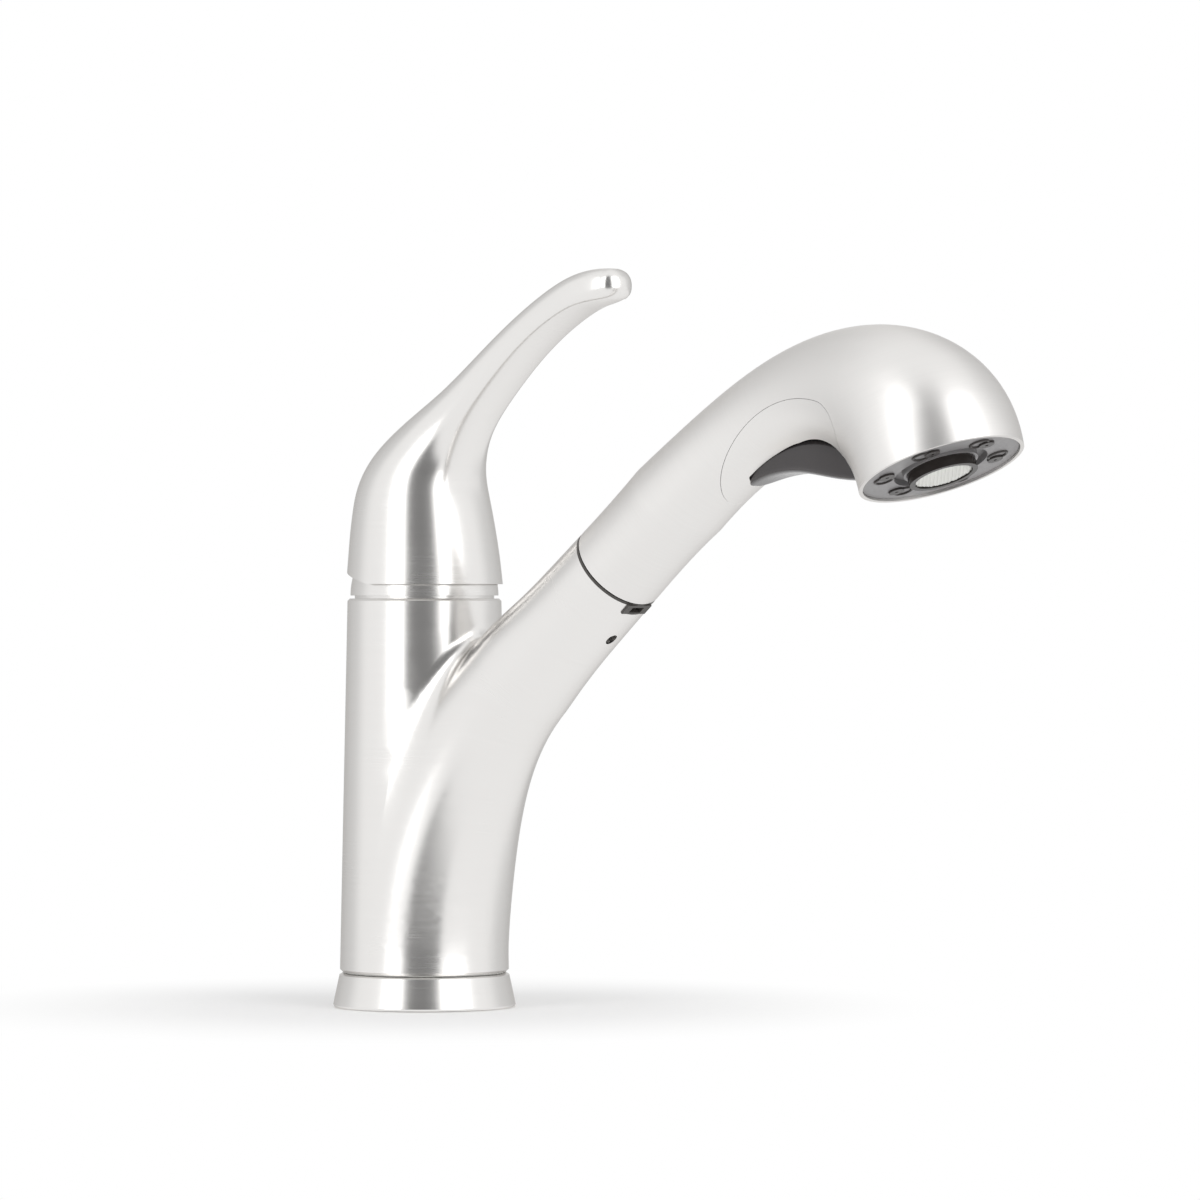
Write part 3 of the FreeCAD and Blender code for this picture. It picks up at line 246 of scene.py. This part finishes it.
def braided(name, colour):
    """Woven hose cover: two sets of strands that wind round the hose in opposite directions, with painted
    shade in the grooves between them and lighter crowns.
    """
    material, made, shader, place = new_material(name)
    side = made.add("ShaderNodeSeparateXYZ", Vector=place).outputs["Y"]
    along = made.vector("DOT_PRODUCT", place, BRAID_RUN)
    strands = []
    for lean in (-1.0, 1.0):
        position = made.maths("ADD", along, made.maths("MULTIPLY", side, lean))
        phase = made.maths("MULTIPLY", position, 2 * math.pi / BRAID_PITCH)
        strands.append(made.maths("ABSOLUTE", made.maths("SINE", phase)))
    height = made.maths("MULTIPLY", *strands)
    # Painted shade: the colour darkens where the strands dip into the grooves and lightens on their crowns.
    made.put(shader, "Base Color", made.tinted(height, colour, *BRAID_SHADE_TONES))
    made.put(shader, "Roughness", made.spread(height, 0, 1, *BRAID_ROUGHNESS))
    made.bumped(shader, height, BRAID_BUMP, BRAID_DEPTH)
    return material


nickel_ring = brushed("satin_nickel_ring", up)
nickel_body = brushed("satin_nickel_body", up, SPOUT_AXIS, reach=(0.02, 0.06))
nickel_handle = brushed("satin_nickel_handle", up, LEVER_AXIS, reach=(0.02, 0.05))
nickel_wand = brushed("satin_nickel_wand", SPOUT_AXIS, FACE_AXIS, reach=(0.15, 0.19), roughness=0.38)
slot_materials = {
    "brass": moulded("brass", (0.72, 0.56, 0.30), 0.3, grain=2200.0, metallic=1.0),
    "copper": moulded("copper", (0.72, 0.42, 0.28), 0.3, grain=1500.0, metallic=1.0),
    "steel": moulded("steel", (0.58, 0.58, 0.59), 0.28, grain=2400.0, metallic=1.0),
    "grey_plastic": moulded("grey_plastic", (0.06, 0.055, 0.05), 0.45),
    "dark_plastic": moulded("dark_plastic", (0.042, 0.037, 0.038), 0.2, **POLISHED),
    "face_plastic": moulded("face_plastic", (0.235, 0.228, 0.23), 0.38),
    "white_plastic": moulded("white_plastic", (0.80, 0.80, 0.77), 0.42),
    "ring_plastic": moulded("ring_plastic", (0.03, 0.026, 0.024), 0.14, **POLISHED, specular=0.15),
    "ceramic": moulded("ceramic", (0.86, 0.85, 0.82), 0.2, grain=1600.0, depth=0.000005),
    "rubber": moulded("rubber", (0.03, 0.03, 0.03), 0.6),
    "silicone": moulded("silicone", (0.045, 0.04, 0.038), 0.3, specular=0.25),
    "hose": braided("hose_braid", (0.34, 0.34, 0.35)),
}
node_materials = {
    "base_ring": nickel_ring,
    "bonnet": nickel_ring,
    "body_casting": nickel_body,
    "handle_shell": nickel_handle,
    "wand_shell": nickel_wand,
    "button_bezel": nickel_wand,
}

SMOOTH_LIMIT = math.radians(28)


def dress(mesh, look):
    """Gives a mesh one material, and smooth shading between its sharp edges."""
    mesh.materials.clear()
    mesh.materials.append(look)
    mesh.shade_smooth()
    mesh.set_sharp_from_angle(angle=SMOOTH_LIMIT)


for part in frame["record"]["subparts"]:
    look = node_materials.get(part["node"]) or slot_materials[part["material_slot"]]
    dress(nodes[part["node"]].data, look)


# Pieces made here: mesh helpers

MM = 0.001


def new_piece(name, mesh, slot, look=None):
    """A piece in the scene, in its slot's own material unless another look is given."""
    dress(mesh, look or slot_materials[slot])
    thing = bpy.data.objects.new(name, mesh)
    scene.collection.objects.link(thing)
    return thing


def finished(made, name):
    """The mesh of a bmesh, with its faces turned outwards."""
    bmesh.ops.recalc_face_normals(made, faces=made.faces)
    mesh = bpy.data.meshes.new(name)
    made.to_mesh(mesh)
    made.free()
    return mesh


def skin(rings, closed=False):
    """A bmesh through rings of equally many points. Closed joins the last ring to the first."""
    made = bmesh.new()
    rows = [[made.verts.new(point) for point in ring] for ring in rings]
    if closed:
        rows.append(rows[0])
    for row, following in zip(rows, rows[1:]):
        for index in range(len(row)):
            made.faces.new((row[index - 1], row[index], following[index], following[index - 1]))
    return made


def eased(rows, steps):
    """Rows along a uniform cubic B-spline that has the given rows as its control rows."""
    before = [2 * a - b for a, b in zip(rows[0], rows[1])]
    after = [2 * a - b for a, b in zip(rows[-1], rows[-2])]
    held = [before, *rows, after]
    result = []
    for start in range(len(rows) - 1):
        for step in range(steps):
            t = step / steps
            weights = (
                (1 - t) ** 3 / 6,
                (3 * t ** 3 - 6 * t ** 2 + 4) / 6,
                (-3 * t ** 3 + 3 * t ** 2 + 3 * t + 1) / 6,
                t ** 3 / 6,
            )
            row = []
            for column in zip(*held[start:start + 4]):
                row.append(sum(weight * value for weight, value in zip(weights, column)))
            result.append(row)
    result.append(list(rows[-1]))
    return result


def rounded(value, square):
    """A sine or cosine pushed towards a square wave, which squares an oval where square is over 2."""
    return math.copysign(abs(value) ** (2 / square), value)


def turns(count):
    """Equal turns round a full circle, in radians."""
    return [2 * math.pi * index / count for index in range(count)]


def capped(made):
    """A bmesh with its open ends filled."""
    bmesh.ops.holes_fill(made, edges=[edge for edge in made.edges if edge.is_boundary])
    return made


# Handle: a round skirt that runs into a lever with a soft crease along each side of its underside

PIVOT_Z = 123.0
RIM_Z = 126.4
RIM_RELIEF = math.radians(13)
CAVITY_R = 22.5
PLUG_HOLE_R = 3.3
PLUG_HOLE_ENDS = (-19.0, -26.0)
PLUG_HOLE_POINTS = 32
PLUG_Z = 151.0
UPPER_STEPS = 40
UNDER_STEPS = 24
SOFTENING = 3
TIP_DOME = 4.3
HANDLE_STEPS = 8
SKIRT_END_X = 50.0
DOME_DEGREES = (15, 30, 45, 60, 72, 82, 88)
CAVITY_SHARES = (0.0, 0.15, 0.18, 0.22, 0.28, 0.4, 0.6)
# x, rise over the rim, tilt, depth to the top, half width, depth to the underside, half crease, squareness
HANDLE_ROWS = [
    (0.0, 0.0, 0.0, 23.6, 23.6, 23.6, 9.0, 2.0),
    (-0.1, 7.0, 0.0, 22.95, 22.95, 22.95, 9.0, 2.0),
    (-0.5, 14.0, 0.0, 22.2, 22.2, 22.1, 8.6, 2.0),
    (-0.8, 21.0, 0.0, 21.2, 21.2, 21.0, 8.2, 2.0),
    (-0.8, 27.5, 4.0, 20.1, 20.1, 19.6, 7.8, 2.0),
    (1.5, 34.0, 15.0, 17.6, 18.2, 16.6, 7.6, 2.0),
    (7.0, 40.5, 31.0, 13.4, 15.2, 12.6, 7.4, 2.0),
    (13.2, 46.9, 44.0, 10.0, 12.3, 9.3, 7.4, 2.1),
    (20.2, 53.2, 51.7, 7.8, 10.5, 7.0, 7.4, 2.2),
    (30.8, 61.9, 53.5, 6.7, 9.6, 5.8, 7.4, 2.3),
    (41.5, 70.3, 54.5, 6.0, 9.0, 5.1, 7.4, 2.4),
    (54.0, 78.3, 59.0, 5.7, 8.7, 4.7, 7.4, 2.5),
    (66.0, 84.2, 67.0, 5.7, 8.5, 5.0, 7.0, 2.6),
    (73.2, 86.0, 77.0, 5.6, 7.8, 5.4, 6.2, 2.7),
    (77.8, 86.5, 84.0, 5.3, 6.9, 5.0, 5.0, 2.5),
    (80.2, 86.7, 87.0, 4.9, 6.0, 4.6, 4.0, 2.3),
]


def handle_section(depth, width, under, crease, square):
    """Points round a squarish oval with a flatter underside between two softened creases."""
    corner_turn = math.pi - math.asin((crease / width) ** (square / 2))
    corner = -depth * rounded(math.cos(corner_turn), square)
    points = []
    for index in range(-UPPER_STEPS, UPPER_STEPS + 1):
        turn = corner_turn * index / UPPER_STEPS
        points.append((-depth * rounded(math.cos(turn), square), width * rounded(math.sin(turn), square)))
    for index in range(1, UNDER_STEPS):
        across = 1 - 2 * index / UNDER_STEPS
        points.append((corner + (under - corner) * (1 - across ** 2), crease * across))
    for _ in range(SOFTENING):
        around_it = zip(points[-1:] + points[:-1], points, points[1:] + points[:1])
        points = [((a[0] + 2 * b[0] + c[0]) / 4, (a[1] + 2 * b[1] + c[1]) / 4) for a, b, c in around_it]
    return points


def handle_ring(x, rise, tilt, *section, scale=1.0, ahead=0.0):
    """One ring of the handle, in metres, scaled about its centre and moved ahead along the lever."""
    sine, cosine = math.sin(math.radians(tilt)), math.cos(math.radians(tilt))
    ring = []
    for down, side in handle_section(*section):
        place_x = x + ahead * sine + scale * down * cosine
        place_z = RIM_Z + rise + ahead * cosine - scale * down * sine
        ring.append(Vector((place_x, scale * side, place_z)) * MM)
    return ring


def grown(made, edges, place):
    """Extrudes an open edge loop, moves its new points with place, and gives the new loop."""
    fresh = bmesh.ops.extrude_edge_only(made, edges=edges)["geom"]
    for vert in fresh:
        if isinstance(vert, bmesh.types.BMVert):
            vert.co = place(vert.co)
    return [edge for edge in fresh if isinstance(edge, bmesh.types.BMEdge) and edge.is_boundary]


def in_cavity(point, share):
    """A point on the ball-shaped hollow over the bonnet, share of the way up to its top."""
    turn = math.atan2(point.y, point.x)
    level = math.asin((point.z / MM - PIVOT_Z) / CAVITY_R)
    level += (math.pi / 2 - level) * share
    flat = CAVITY_R * math.cos(level)
    return Vector((flat * math.cos(turn), flat * math.sin(turn), PIVOT_Z + CAVITY_R * math.sin(level))) * MM


def handle_mesh():
    """The handle's outside with a domed tip, cut off at its rim and hollowed over the bonnet."""
    rings = [handle_ring(*row) for row in eased(HANDLE_ROWS, HANDLE_STEPS)]
    for degrees in DOME_DEGREES:
        angle = math.radians(degrees)
        rings.append(handle_ring(*HANDLE_ROWS[-1], scale=math.cos(angle), ahead=TIP_DOME * math.sin(angle)))
    made = skin(rings)
    tip = [edge for edge in made.edges if edge.is_boundary and edge.verts[0].co.x > SKIRT_END_X * MM]
    bmesh.ops.holes_fill(made, edges=tip)
    rim = (0, 0, RIM_Z * MM)
    below = (-math.sin(RIM_RELIEF), 0, -math.cos(RIM_RELIEF))
    everything = made.verts[:] + made.edges[:] + made.faces[:]
    bmesh.ops.bisect_plane(made, geom=everything, plane_co=rim, plane_no=below, clear_outer=True)
    loop = [edge for edge in made.edges if edge.is_boundary]
    for share in CAVITY_SHARES:
        loop = grown(made, loop, lambda point: in_cavity(point, share))
    bmesh.ops.holes_fill(made, edges=loop)
    return finished(made, "handle_cast")


def drilled(mesh, cutter):
    """The mesh with a cutter mesh taken out of it."""
    blank = bpy.data.objects.new("blank", mesh)
    tool = bpy.data.objects.new("tool", cutter)
    for thing in (blank, tool):
        scene.collection.objects.link(thing)
    cut = blank.modifiers.new("hole", "BOOLEAN")
    cut.object = tool
    cut.solver = "EXACT"
    solved = blank.evaluated_get(bpy.context.evaluated_depsgraph_get())
    result = bpy.data.meshes.new_from_object(solved)
    for thing in (blank, tool):
        bpy.data.objects.remove(thing)
    return result


def upright_ring(x, radius, height):
    """A ring of points round a line along X at a height, for a hole from the back."""
    ring = []
    for turn in turns(PLUG_HOLE_POINTS):
        ring.append(Vector((x, radius * math.cos(turn), height + radius * math.sin(turn))) * MM)
    return ring


hole = capped(skin([upright_ring(x, PLUG_HOLE_R, PLUG_Z) for x in PLUG_HOLE_ENDS]))
handle_cast = drilled(handle_mesh(), finished(hole, "plug_hole"))
handle = new_piece("handle_cast", handle_cast, "nickel", nickel_handle)
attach(handle, "handle")
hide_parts("handle_shell")


# Spout and wand: the shells' own meshes, with the runs on both sides of the dock trued to a slim taper

JOINT = Vector((81.7586, 0, 130.9032))
UNDER_AXIS = Vector((SPOUT_AXIS.z, 0, -SPOUT_AXIS.x))
TOP_START = -47.0
UNDER_START = -62.0
TAPER_STEPS = 6
# station along the spout's axis from the dock, outside radius of the underside and of the top
TAPER_ROWS = [
    (-66.0, 19.3, 16.8),
    (-60.0, 18.05, 16.8),
    (-54.0, 17.15, 16.8),
    (-48.0, 16.5, 16.8),
    (-43.0, 15.95, 16.6),
    (-37.0, 15.45, 16.0),
    (-31.0, 15.1, 15.45),
    (-24.0, 14.85, 15.0),
    (-14.0, 14.65, 14.7),
    (0.0, 14.4, 14.4),
    (8.0, 14.2, 14.2),
    (18.0, 14.15, 14.15),
    (27.0, 14.4, 14.2),
    (36.0, 15.1, 14.6),
]
TAPER = eased(TAPER_ROWS, TAPER_STEPS)


def taper_r(station, under):
    """The outside radius at a station, for a share of 0 on the top to 1 on the underside."""
    for (low, *low_r), (high, *high_r) in zip(TAPER, TAPER[1:]):
        if low <= station <= high:
            share = (station - low) / (high - low)
            under_r, top_r = [a + (b - a) * share for a, b in zip(low_r, high_r)]
            return top_r + (under_r - top_r) * under
    return math.inf


def trued(name, node):
    """A copy of a node's mesh with nothing outside the taper."""
    mesh = nodes[node].data.copy()
    mesh.name = name
    for vertex in mesh.vertices:
        away = vertex.co / MM - JOINT
        station = away.dot(SPOUT_AXIS)
        off = away - SPOUT_AXIS * station
        down = off.dot(UNDER_AXIS)
        if station > (UNDER_START if down > 0 else TOP_START):
            limit = taper_r(station, (1 + down / off.length) / 2)
            off *= min(1.0, limit / off.length)
            vertex.co = (JOINT + SPOUT_AXIS * station + off) * MM
    if "custom_normal" in mesh.attributes:
        mesh.attributes.remove(mesh.attributes["custom_normal"])
    return mesh


for name, node, look, body in (
    ("body_cast", "body_casting", nickel_body, "spout_body"),
    ("wand_cast", "wand_shell", nickel_wand, "wand"),
):
    shell = new_piece(name, trued(name, node), "nickel", look)
    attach(shell, body)
    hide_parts(node)


# Dock screw: a set screw with a hexagon socket, sunk under the spout's underside

SCREW_STATION = -15.0
SCREW_R = 1.9
SCREW_CHAMFER = 0.3
SCREW_POINTS = 48
SOCKET_SIDES = 6
SOCKET_R = 1.05
SCREW_FOOT = 11.0
SCREW_HEAD = 13.5
SOCKET_FLOOR = 12.2


def screw_ring(radius, depth, sides=0):
    """A ring round the screw's axis: a circle, or a polygon where sides are given."""
    ring = []
    for turn in turns(SCREW_POINTS):
        reach = radius
        if sides:
            wedge = 2 * math.pi / sides
            reach = radius * math.cos(wedge / 2) / math.cos(turn % wedge - wedge / 2)
        place = JOINT + SPOUT_AXIS * (SCREW_STATION + reach * math.cos(turn)) + UNDER_AXIS * depth
        place.y = reach * math.sin(turn)
        ring.append(place * MM)
    return ring


set_screw = capped(skin([
    screw_ring(SCREW_R, SCREW_FOOT),
    screw_ring(SCREW_R, SCREW_HEAD - SCREW_CHAMFER),
    screw_ring(SCREW_R - SCREW_CHAMFER, SCREW_HEAD),
    screw_ring(SOCKET_R, SCREW_HEAD, SOCKET_SIDES),
    screw_ring(SOCKET_R, SOCKET_FLOOR, SOCKET_SIDES),
]))
dark_steel = moulded("blackened_steel", (0.10, 0.095, 0.09), 0.32, grain=2400.0, metallic=1.0)
screw = new_piece("socket_screw", finished(set_screw, "socket_screw"), "steel", dark_steel)
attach(screw, "spout_body")
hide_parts("dock_screw")


# Spray toggle: a rocker with rounded edges, a finger scoop and bowed sides, in the wand's own frame

TOGGLE_SQUARE = 5.0
TOGGLE_STEPS = 8
TOGGLE_POINTS = 64
# finger face x and z, crown x and z, half width
TOGGLE_ROWS = [
    (16.6, 58.0, 14.8, 58.7, 2.6),
    (17.4, 60.0, 14.2, 61.2, 4.6),
    (19.2, 64.5, 14.3, 66.4, 5.9),
    (22.2, 70.0, 15.6, 73.2, 6.9),
    (26.0, 75.3, 18.0, 79.8, 7.7),
    (31.0, 80.6, 21.8, 86.6, 8.7),
    (36.6, 85.6, 26.4, 92.0, 9.1),
    (41.0, 90.0, 31.2, 95.6, 8.6),
    (44.3, 94.0, 37.2, 97.8, 7.4),
]


def toggle_ring(face_x, face_z, crown_x, crown_z, width):
    """One ring of the rocker: a squarish oval between its finger face and its crown."""
    middle_x, middle_z = (face_x + crown_x) / 2, (face_z + crown_z) / 2
    ring = []
    for turn in turns(TOGGLE_POINTS):
        reach = rounded(math.cos(turn), TOGGLE_SQUARE)
        x = middle_x + (face_x - middle_x) * reach
        z = middle_z + (face_z - middle_z) * reach
        place = JOINT + UNDER_AXIS * x + SPOUT_AXIS * z
        place.y = width * rounded(math.sin(turn), TOGGLE_SQUARE)
        ring.append(place * MM)
    return ring


rocker = capped(skin([toggle_ring(*row) for row in eased(TOGGLE_ROWS, TOGGLE_STEPS)]))
toggle = new_piece("toggle_rocker", finished(rocker, "toggle_rocker"), "dark_plastic")
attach(toggle, "spray_toggle")
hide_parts("spray_toggle")


# Spray face details, in the frame of the wand's lip: woven screen and nozzle collars

LIP = Vector((207.569, 0, 157.632))
FACE_ACROSS = Vector((-FACE_AXIS.z, 0, FACE_AXIS.x))
SCREEN_R = 8.2
SCREEN_STAND = 1.75
WIRE_R = 0.16
WIRE_PITCH = 0.75
WIRE_WAVE = 0.13
FACE_FRONT = -0.7
NOZZLE_CIRCLE_R = 16.6
NOZZLE_START = -5.0
NOZZLE_COUNT = 6
COLLAR_POINTS = 32
# collar outline: distance from the nozzle's middle, rise over the face
COLLAR_OUTLINE = [(2.2, -0.3), (2.25, 0.3), (2.5, 0.5), (2.8, 0.45), (3.0, 0.2), (3.05, -0.3)]


def on_face(across, side, stand):
    """A point in metres, in the lip's frame: towards the wand's outer end, towards +Y, out of the face."""
    return (LIP + FACE_ACROSS * across + Vector((0, side, 0)) + FACE_AXIS * stand) * MM


def woven_wires():
    """A curve with one run for each wire, which goes over and under the wires across it."""
    curve = bpy.data.curves.new("woven_wires", "CURVE")
    curve.dimensions = "3D"
    curve.bevel_depth = WIRE_R * MM
    curve.bevel_resolution = 1
    count = int(SCREEN_R / WIRE_PITCH)
    for crosswise in (False, True):
        for number in range(-count, count + 1):
            offset = number * WIRE_PITCH
            crossings = int(math.sqrt(SCREEN_R ** 2 - offset ** 2) / WIRE_PITCH)
            run = curve.splines.new("POLY")
            run.points.add(2 * crossings)
            for point, crossing in zip(run.points, range(-crossings, crossings + 1)):
                over = 1 if (crossing + number + crosswise) % 2 else -1
                stand = SCREEN_STAND + over * WIRE_WAVE
                along = crossing * WIRE_PITCH
                place = on_face(offset, along, stand) if crosswise else on_face(along, offset, stand)
                point.co = (*place, 1)
    return curve


def solid_curve(curve):
    """The mesh of a curve with its bevel."""
    holder = bpy.data.objects.new("curve", curve)
    mesh = bpy.data.meshes.new_from_object(holder)
    bpy.data.objects.remove(holder)
    return mesh


def collar_ring(middle, turn):
    """A collar's outline at one turn round the middle of its nozzle."""
    ring = []
    for reach, rise in COLLAR_OUTLINE:
        across = middle[0] + reach * math.cos(turn)
        side = middle[1] + reach * math.sin(turn)
        ring.append(on_face(across, side, FACE_FRONT + rise))
    return ring


screen = new_piece("woven_screen", solid_curve(woven_wires()), "white_plastic")
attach(screen, "wand")

for number in range(NOZZLE_COUNT):
    angle = math.radians(NOZZLE_START + 360 * number / NOZZLE_COUNT)
    middle = (NOZZLE_CIRCLE_R * math.cos(angle), NOZZLE_CIRCLE_R * math.sin(angle))
    rings = [collar_ring(middle, turn) for turn in turns(COLLAR_POINTS)]
    collar_mesh = finished(skin(rings, closed=True), f"nozzle_collar_{number}")
    collar = new_piece(f"nozzle_collar_{number}", collar_mesh, "silicone")
    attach(collar, "wand")


# Spray hose: a braided tube on a smooth line guided by the route's points

HOSE_R = 5.2
# x and z of the route's points, with one more on its upright run
HOSE_ROUTE = [(7.5, -64.0), (7.5, 0.9), (7.5, 71.8), (62.98, 115.96)]
hose_curve = bpy.data.curves.new("hose_line", "CURVE")
hose_curve.dimensions = "3D"
hose_curve.resolution_u = 16
hose_curve.bevel_depth = HOSE_R * MM
hose_curve.bevel_resolution = 6
hose_curve.use_fill_caps = True
line = hose_curve.splines.new("NURBS")
line.points.add(len(HOSE_ROUTE) - 1)
for point, (x, z) in zip(line.points, HOSE_ROUTE):
    point.co = (x * MM, 0, z * MM, 1)
line.order_u = 3
line.use_endpoint_u = True
hose = new_piece("braided_hose", solid_curve(hose_curve), "hose")
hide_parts("spray_hose")
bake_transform(hose)


# Studio: a white surround with a dark gap behind the camera, a white floor and two softboxes

def seen_directly(made):
    """1 for camera, glossy and transmission rays, which show the white background."""
    path = made.add("ShaderNodeLightPath")
    shown = made.maths("MAXIMUM", path.outputs["Is Camera Ray"], path.outputs["Is Glossy Ray"])
    return made.maths("MAXIMUM", shown, path.outputs["Is Transmission Ray"])


def patch(made, across, upright, across_edges, upright_edges):
    """1 inside a soft-edged patch of the surround, whose edges are in degrees, and 0 outside it."""
    rise, fall = [[math.radians(degrees) for degrees in edge] for edge in across_edges]
    low, high = [[math.sin(math.radians(degrees)) for degrees in edge] for edge in upright_edges]
    return made.maths("MULTIPLY", made.band(across, rise, fall), made.band(upright, low, high))


AMBIENT = 0.75
GAP_DEPTH = 0.80
BEHIND_DEPTH = 0.25
# degrees over which each dimmed patch comes and goes, round from the camera and up from the horizon
GAP_ACROSS = ((-30, -24), (18, 24))
GAP_UPRIGHT = ((-24, -10), (48, 72))
BEHIND_ACROSS = ((92, 120), (160, 180))
BEHIND_UPRIGHT = ((-25, -8), (40, 65))
world = bpy.data.worlds.new("studio")
world.use_nodes = True
scene.world = world
sky = Nodes(world.node_tree)
way = sky.add("ShaderNodeTexCoord").outputs["Generated"]
height = sky.add("ShaderNodeSeparateXYZ", Vector=way).outputs["Z"]
sideways = sky.vector("DOT_PRODUCT", way, tuple(to_right))
frontways = sky.vector("DOT_PRODUCT", way, tuple(to_camera))
turn = sky.maths("ARCTAN2", sideways, frontways)
gap = patch(sky, turn, height, GAP_ACROSS, GAP_UPRIGHT)
behind = patch(sky, sky.maths("ABSOLUTE", turn), height, BEHIND_ACROSS, BEHIND_UPRIGHT)
gap_dimming = sky.maths("MULTIPLY", gap, GAP_DEPTH)
behind_dimming = sky.maths("MULTIPLY", behind, BEHIND_DEPTH)
reflected = sky.maths("SUBTRACT", 1.0, sky.maths("ADD", gap_dimming, behind_dimming))
camera_ray = sky.add("ShaderNodeLightPath").outputs["Is Camera Ray"]
shown = sky.between(camera_ray, reflected, 1.0)
background = world.node_tree.nodes["Background"]
background.inputs["Color"].default_value = (1, 1, 1, 1)
sky.put(background, "Strength", sky.between(seen_directly(sky), AMBIENT, shown))

FLOOR_HALF = 1.5
FLOOR_Z = -0.0003
FLOOR_COLOUR = (0.97, 0.97, 0.97)
FLOOR_ROUGHNESS = 0.9
SHADOW_NEAR = 0.05
SHADOW_FAR = 0.16
floor_look, made, shader, place = new_material("floor")
shader.inputs["Base Color"].default_value = rgba(FLOOR_COLOUR)
shader.inputs["Roughness"].default_value = FLOOR_ROUGHNESS
shader.inputs["Specular IOR Level"].default_value = 0.0
white = made.add("ShaderNodeEmission", Strength=1.0).outputs["Emission"]
distance = made.add("ShaderNodeVectorMath", {"operation": "LENGTH"}, _0=place).outputs["Value"]
away = made.spread(distance, SHADOW_NEAR, SHADOW_FAR, 0, 1, smooth=True)
share = made.maths("MULTIPLY", away, seen_directly(made))
cover = made.add("ShaderNodeMixShader", _0=share, _1=shader.outputs["BSDF"], _2=white)
output = floor_look.node_tree.nodes["Material Output"]
made.put(output, "Surface", cover.outputs["Shader"])
corners = [(x * FLOOR_HALF, y * FLOOR_HALF, FLOOR_Z) for x, y in ((-1, -1), (1, -1), (1, 1), (-1, 1))]
floor_mesh = bpy.data.meshes.new("floor")
floor_mesh.from_pydata(corners, [], [range(len(corners))])
floor_mesh.materials.append(floor_look)
floor = bpy.data.objects.new("floor", floor_mesh)
floor.visible_glossy = False
scene.collection.objects.link(floor)

SOFTBOX_DISTANCE = 2.0
SOFTBOX_Z = 0.95
SOFTBOX_HEIGHT = 2.3
SOFTBOX_RADIANCE = 1.35


def softbox(name, degrees, width):
    """A tall area lamp that faces the object, turned from the camera towards image right."""
    lamp_data = bpy.data.lights.new(name, "AREA")
    lamp_data.shape = "RECTANGLE"
    lamp_data.size = width
    lamp_data.size_y = SOFTBOX_HEIGHT
    lamp_data.energy = SOFTBOX_RADIANCE * math.pi * width * SOFTBOX_HEIGHT
    lamp = bpy.data.objects.new(name, lamp_data)
    angle = math.radians(degrees)
    outwards = to_camera * math.cos(angle) + to_right * math.sin(angle)
    lamp.location = outwards * SOFTBOX_DISTANCE + up * SOFTBOX_Z
    aim = up * CAMERA_HEIGHT - lamp.location
    lamp.rotation_euler = aim.to_track_quat("-Z", "Y").to_euler()
    scene.collection.objects.link(lamp)


softbox("left_softbox", -41, width=0.95)
softbox("right_softbox", 43, width=1.45)
